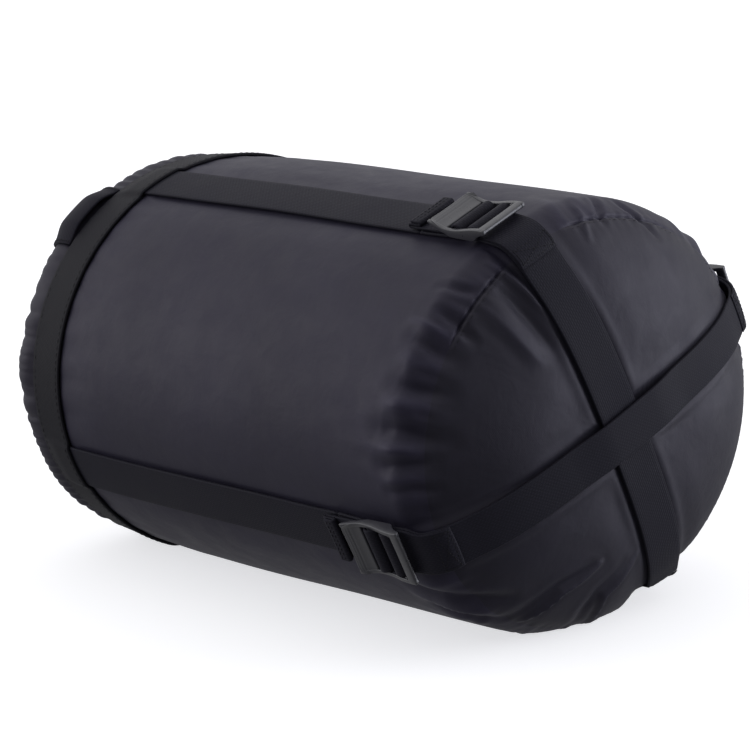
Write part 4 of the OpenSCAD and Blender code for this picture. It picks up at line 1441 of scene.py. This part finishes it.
# ------------------------------------------------------------------ floor, lights and camera
floor = bpy.data.meshes.new("studio_floor")
floor.from_pydata([(-14, -9, 0), (9, -9, 0), (9, 16, 0), (-14, 16, 0)], [], [(0, 1, 2, 3)])
fo = link(bpy.data.objects.new("studio_floor", floor))
g = Graph("studio_paper")
g.bsdf.inputs["Base Color"].default_value = (0.74, 0.74, 0.745, 1)
g.bsdf.inputs["Roughness"].default_value = 0.9
g.bsdf.inputs["Specular IOR Level"].default_value = 0.1
g.bsdf.inputs["Emission Color"].default_value = (0.97, 0.975, 1.0, 1)
g.bsdf.inputs["Emission Strength"].default_value = 0.68
floor.materials.append(g.mat)
fo.visible_diffuse = False
fo.visible_glossy = False

# a white backdrop all round; the light of the world passes through it
nb_, mb_ = 48, 24
bt_ = 2 * PI * np.arange(nb_) / nb_
bv_, bf_ = [], []
for i_ in range(mb_ + 1):
    ph_ = -PI / 2 + PI * (i_ + 0.5) / (mb_ + 1)
    bv_ += [(-2.5 + 20 * math.cos(ph_) * math.cos(t_), 3.5 + 20 * math.cos(ph_) * math.sin(t_), 20 * math.sin(ph_)) for t_ in bt_]
for i_ in range(mb_):
    for j_ in range(nb_):
        k_ = (j_ + 1) % nb_
        bf_.append((i_ * nb_ + j_, (i_ + 1) * nb_ + j_, (i_ + 1) * nb_ + k_, i_ * nb_ + k_))
bf_ += [tuple(range(nb_)), tuple(reversed(range(mb_ * nb_, (mb_ + 1) * nb_)))]
drop_ = bpy.data.meshes.new("studio_backdrop")
drop_.from_pydata(bv_, [], bf_)
bo_ = link(bpy.data.objects.new("studio_backdrop", drop_))
g = Graph("studio_backdrop_paper")
g.bsdf.inputs["Base Color"].default_value = (0, 0, 0, 1)
g.bsdf.inputs["Roughness"].default_value = 1.0
g.bsdf.inputs["Specular IOR Level"].default_value = 0.0
g.bsdf.inputs["Emission Color"].default_value = (0.99, 0.99, 1.0, 1)
g.bsdf.inputs["Emission Strength"].default_value = 1.0
drop_.materials.append(g.mat)
bo_.visible_diffuse = False
bo_.visible_glossy = False
bo_.visible_transmission = False
bo_.visible_shadow = False


def area(name, loc, target, size, energy, colour=(1, 1, 1), size_y=None):
    d_ = bpy.data.lights.new(name, "AREA")
    d_.shape = "RECTANGLE"
    d_.size, d_.size_y = size, size_y or size
    d_.energy = energy
    d_.color = colour
    o_ = link(bpy.data.objects.new(name, d_))
    o_.location = loc
    o_.rotation_mode = "QUATERNION"
    o_.rotation_quaternion = (Vector(target) - Vector(loc)).to_track_quat("-Z", "Y")
    return o_


area("key_overhead", (-0.35, 0.25, 1.9), (0.0, 0.0, 0.1), 2.2, 1.8, (1.0, 0.985, 1.0))
area("fill_left", (-2.0, -1.8, 0.9), (-0.05, 0.0, 0.1), 2.4, 15.0, (1.0, 0.985, 1.0))
area("fill_right", (1.75, 2.0, 0.42), (0.08, 0.0, 0.12), 2.0, 30.0, (0.86, 0.88, 1.0))
w = bpy.data.worlds.new("studio_world")
w.use_nodes = True
wt_ = w.node_tree
bgn = wt_.nodes["Background"]
wc = wt_.nodes.new("ShaderNodeTexCoord")
sx = wt_.nodes.new("ShaderNodeSeparateXYZ")
wt_.links.new(wc.outputs["Generated"], sx.inputs[0])


def wmath(op, a_, b_=0.0):
    n_ = wt_.nodes.new("ShaderNodeMath")
    n_.operation = op
    for so, v_ in zip(n_.inputs, (a_, b_)):
        if isinstance(v_, bpy.types.NodeSocket):
            wt_.links.new(v_, so)
        else:
            so.default_value = v_
    return n_.outputs[0]


def wstep(v_, lo, hi, a_, b_):
    n_ = wt_.nodes.new("ShaderNodeMapRange")
    n_.interpolation_type = "SMOOTHSTEP"
    wt_.links.new(v_, n_.inputs[0])
    for i_, q_ in enumerate((lo, hi, a_, b_)):
        n_.inputs[i_ + 1].default_value = q_
    return n_.outputs[0]


# a white studio, darker below the floor line and on the side that the sack is looked at from
toward = wmath("ADD", wmath("MULTIPLY", sx.outputs[0], 0.84), wmath("MULTIPLY", sx.outputs[1], -0.54))
sky = wmath("MULTIPLY", wstep(sx.outputs[2], -0.60, 0.50, 0.31, 0.74), wstep(toward, -0.10, 0.75, 1.0, 0.36))
wt_.links.new(wmath("MULTIPLY", sky, 1.0), bgn.inputs[1])
bgn.inputs[0].default_value = (0.985, 0.985, 1.0, 1)
bpy.context.scene.world = w

cam_data = bpy.data.cameras.new("camera")
cam_data.sensor_width = 36.0
cam_data.lens = 121.461
cam_data.clip_start, cam_data.clip_end = 0.05, 60
cam = link(bpy.data.objects.new("camera", cam_data))
yaw, pitch, roll = 0.8052, 0.2149, -0.0311
fwd = Vector((-math.sin(yaw) * math.cos(pitch), math.cos(yaw) * math.cos(pitch), -math.sin(pitch)))
right = Vector((math.cos(yaw), math.sin(yaw), 0))
upc = right.cross(fwd)
r2 = math.cos(roll) * right + math.sin(roll) * upc
u2 = -math.sin(roll) * right + math.cos(roll) * upc
m = Matrix((r2, u2, -fwd)).transposed().to_4x4()
m.translation = Vector(world([1033.4997, -889.6944, 281.9371]))
cam.matrix_world = m
bpy.context.scene.camera = cam
bpy.context.scene.view_settings.view_transform = "Standard"

bpy.context.view_layer.update()
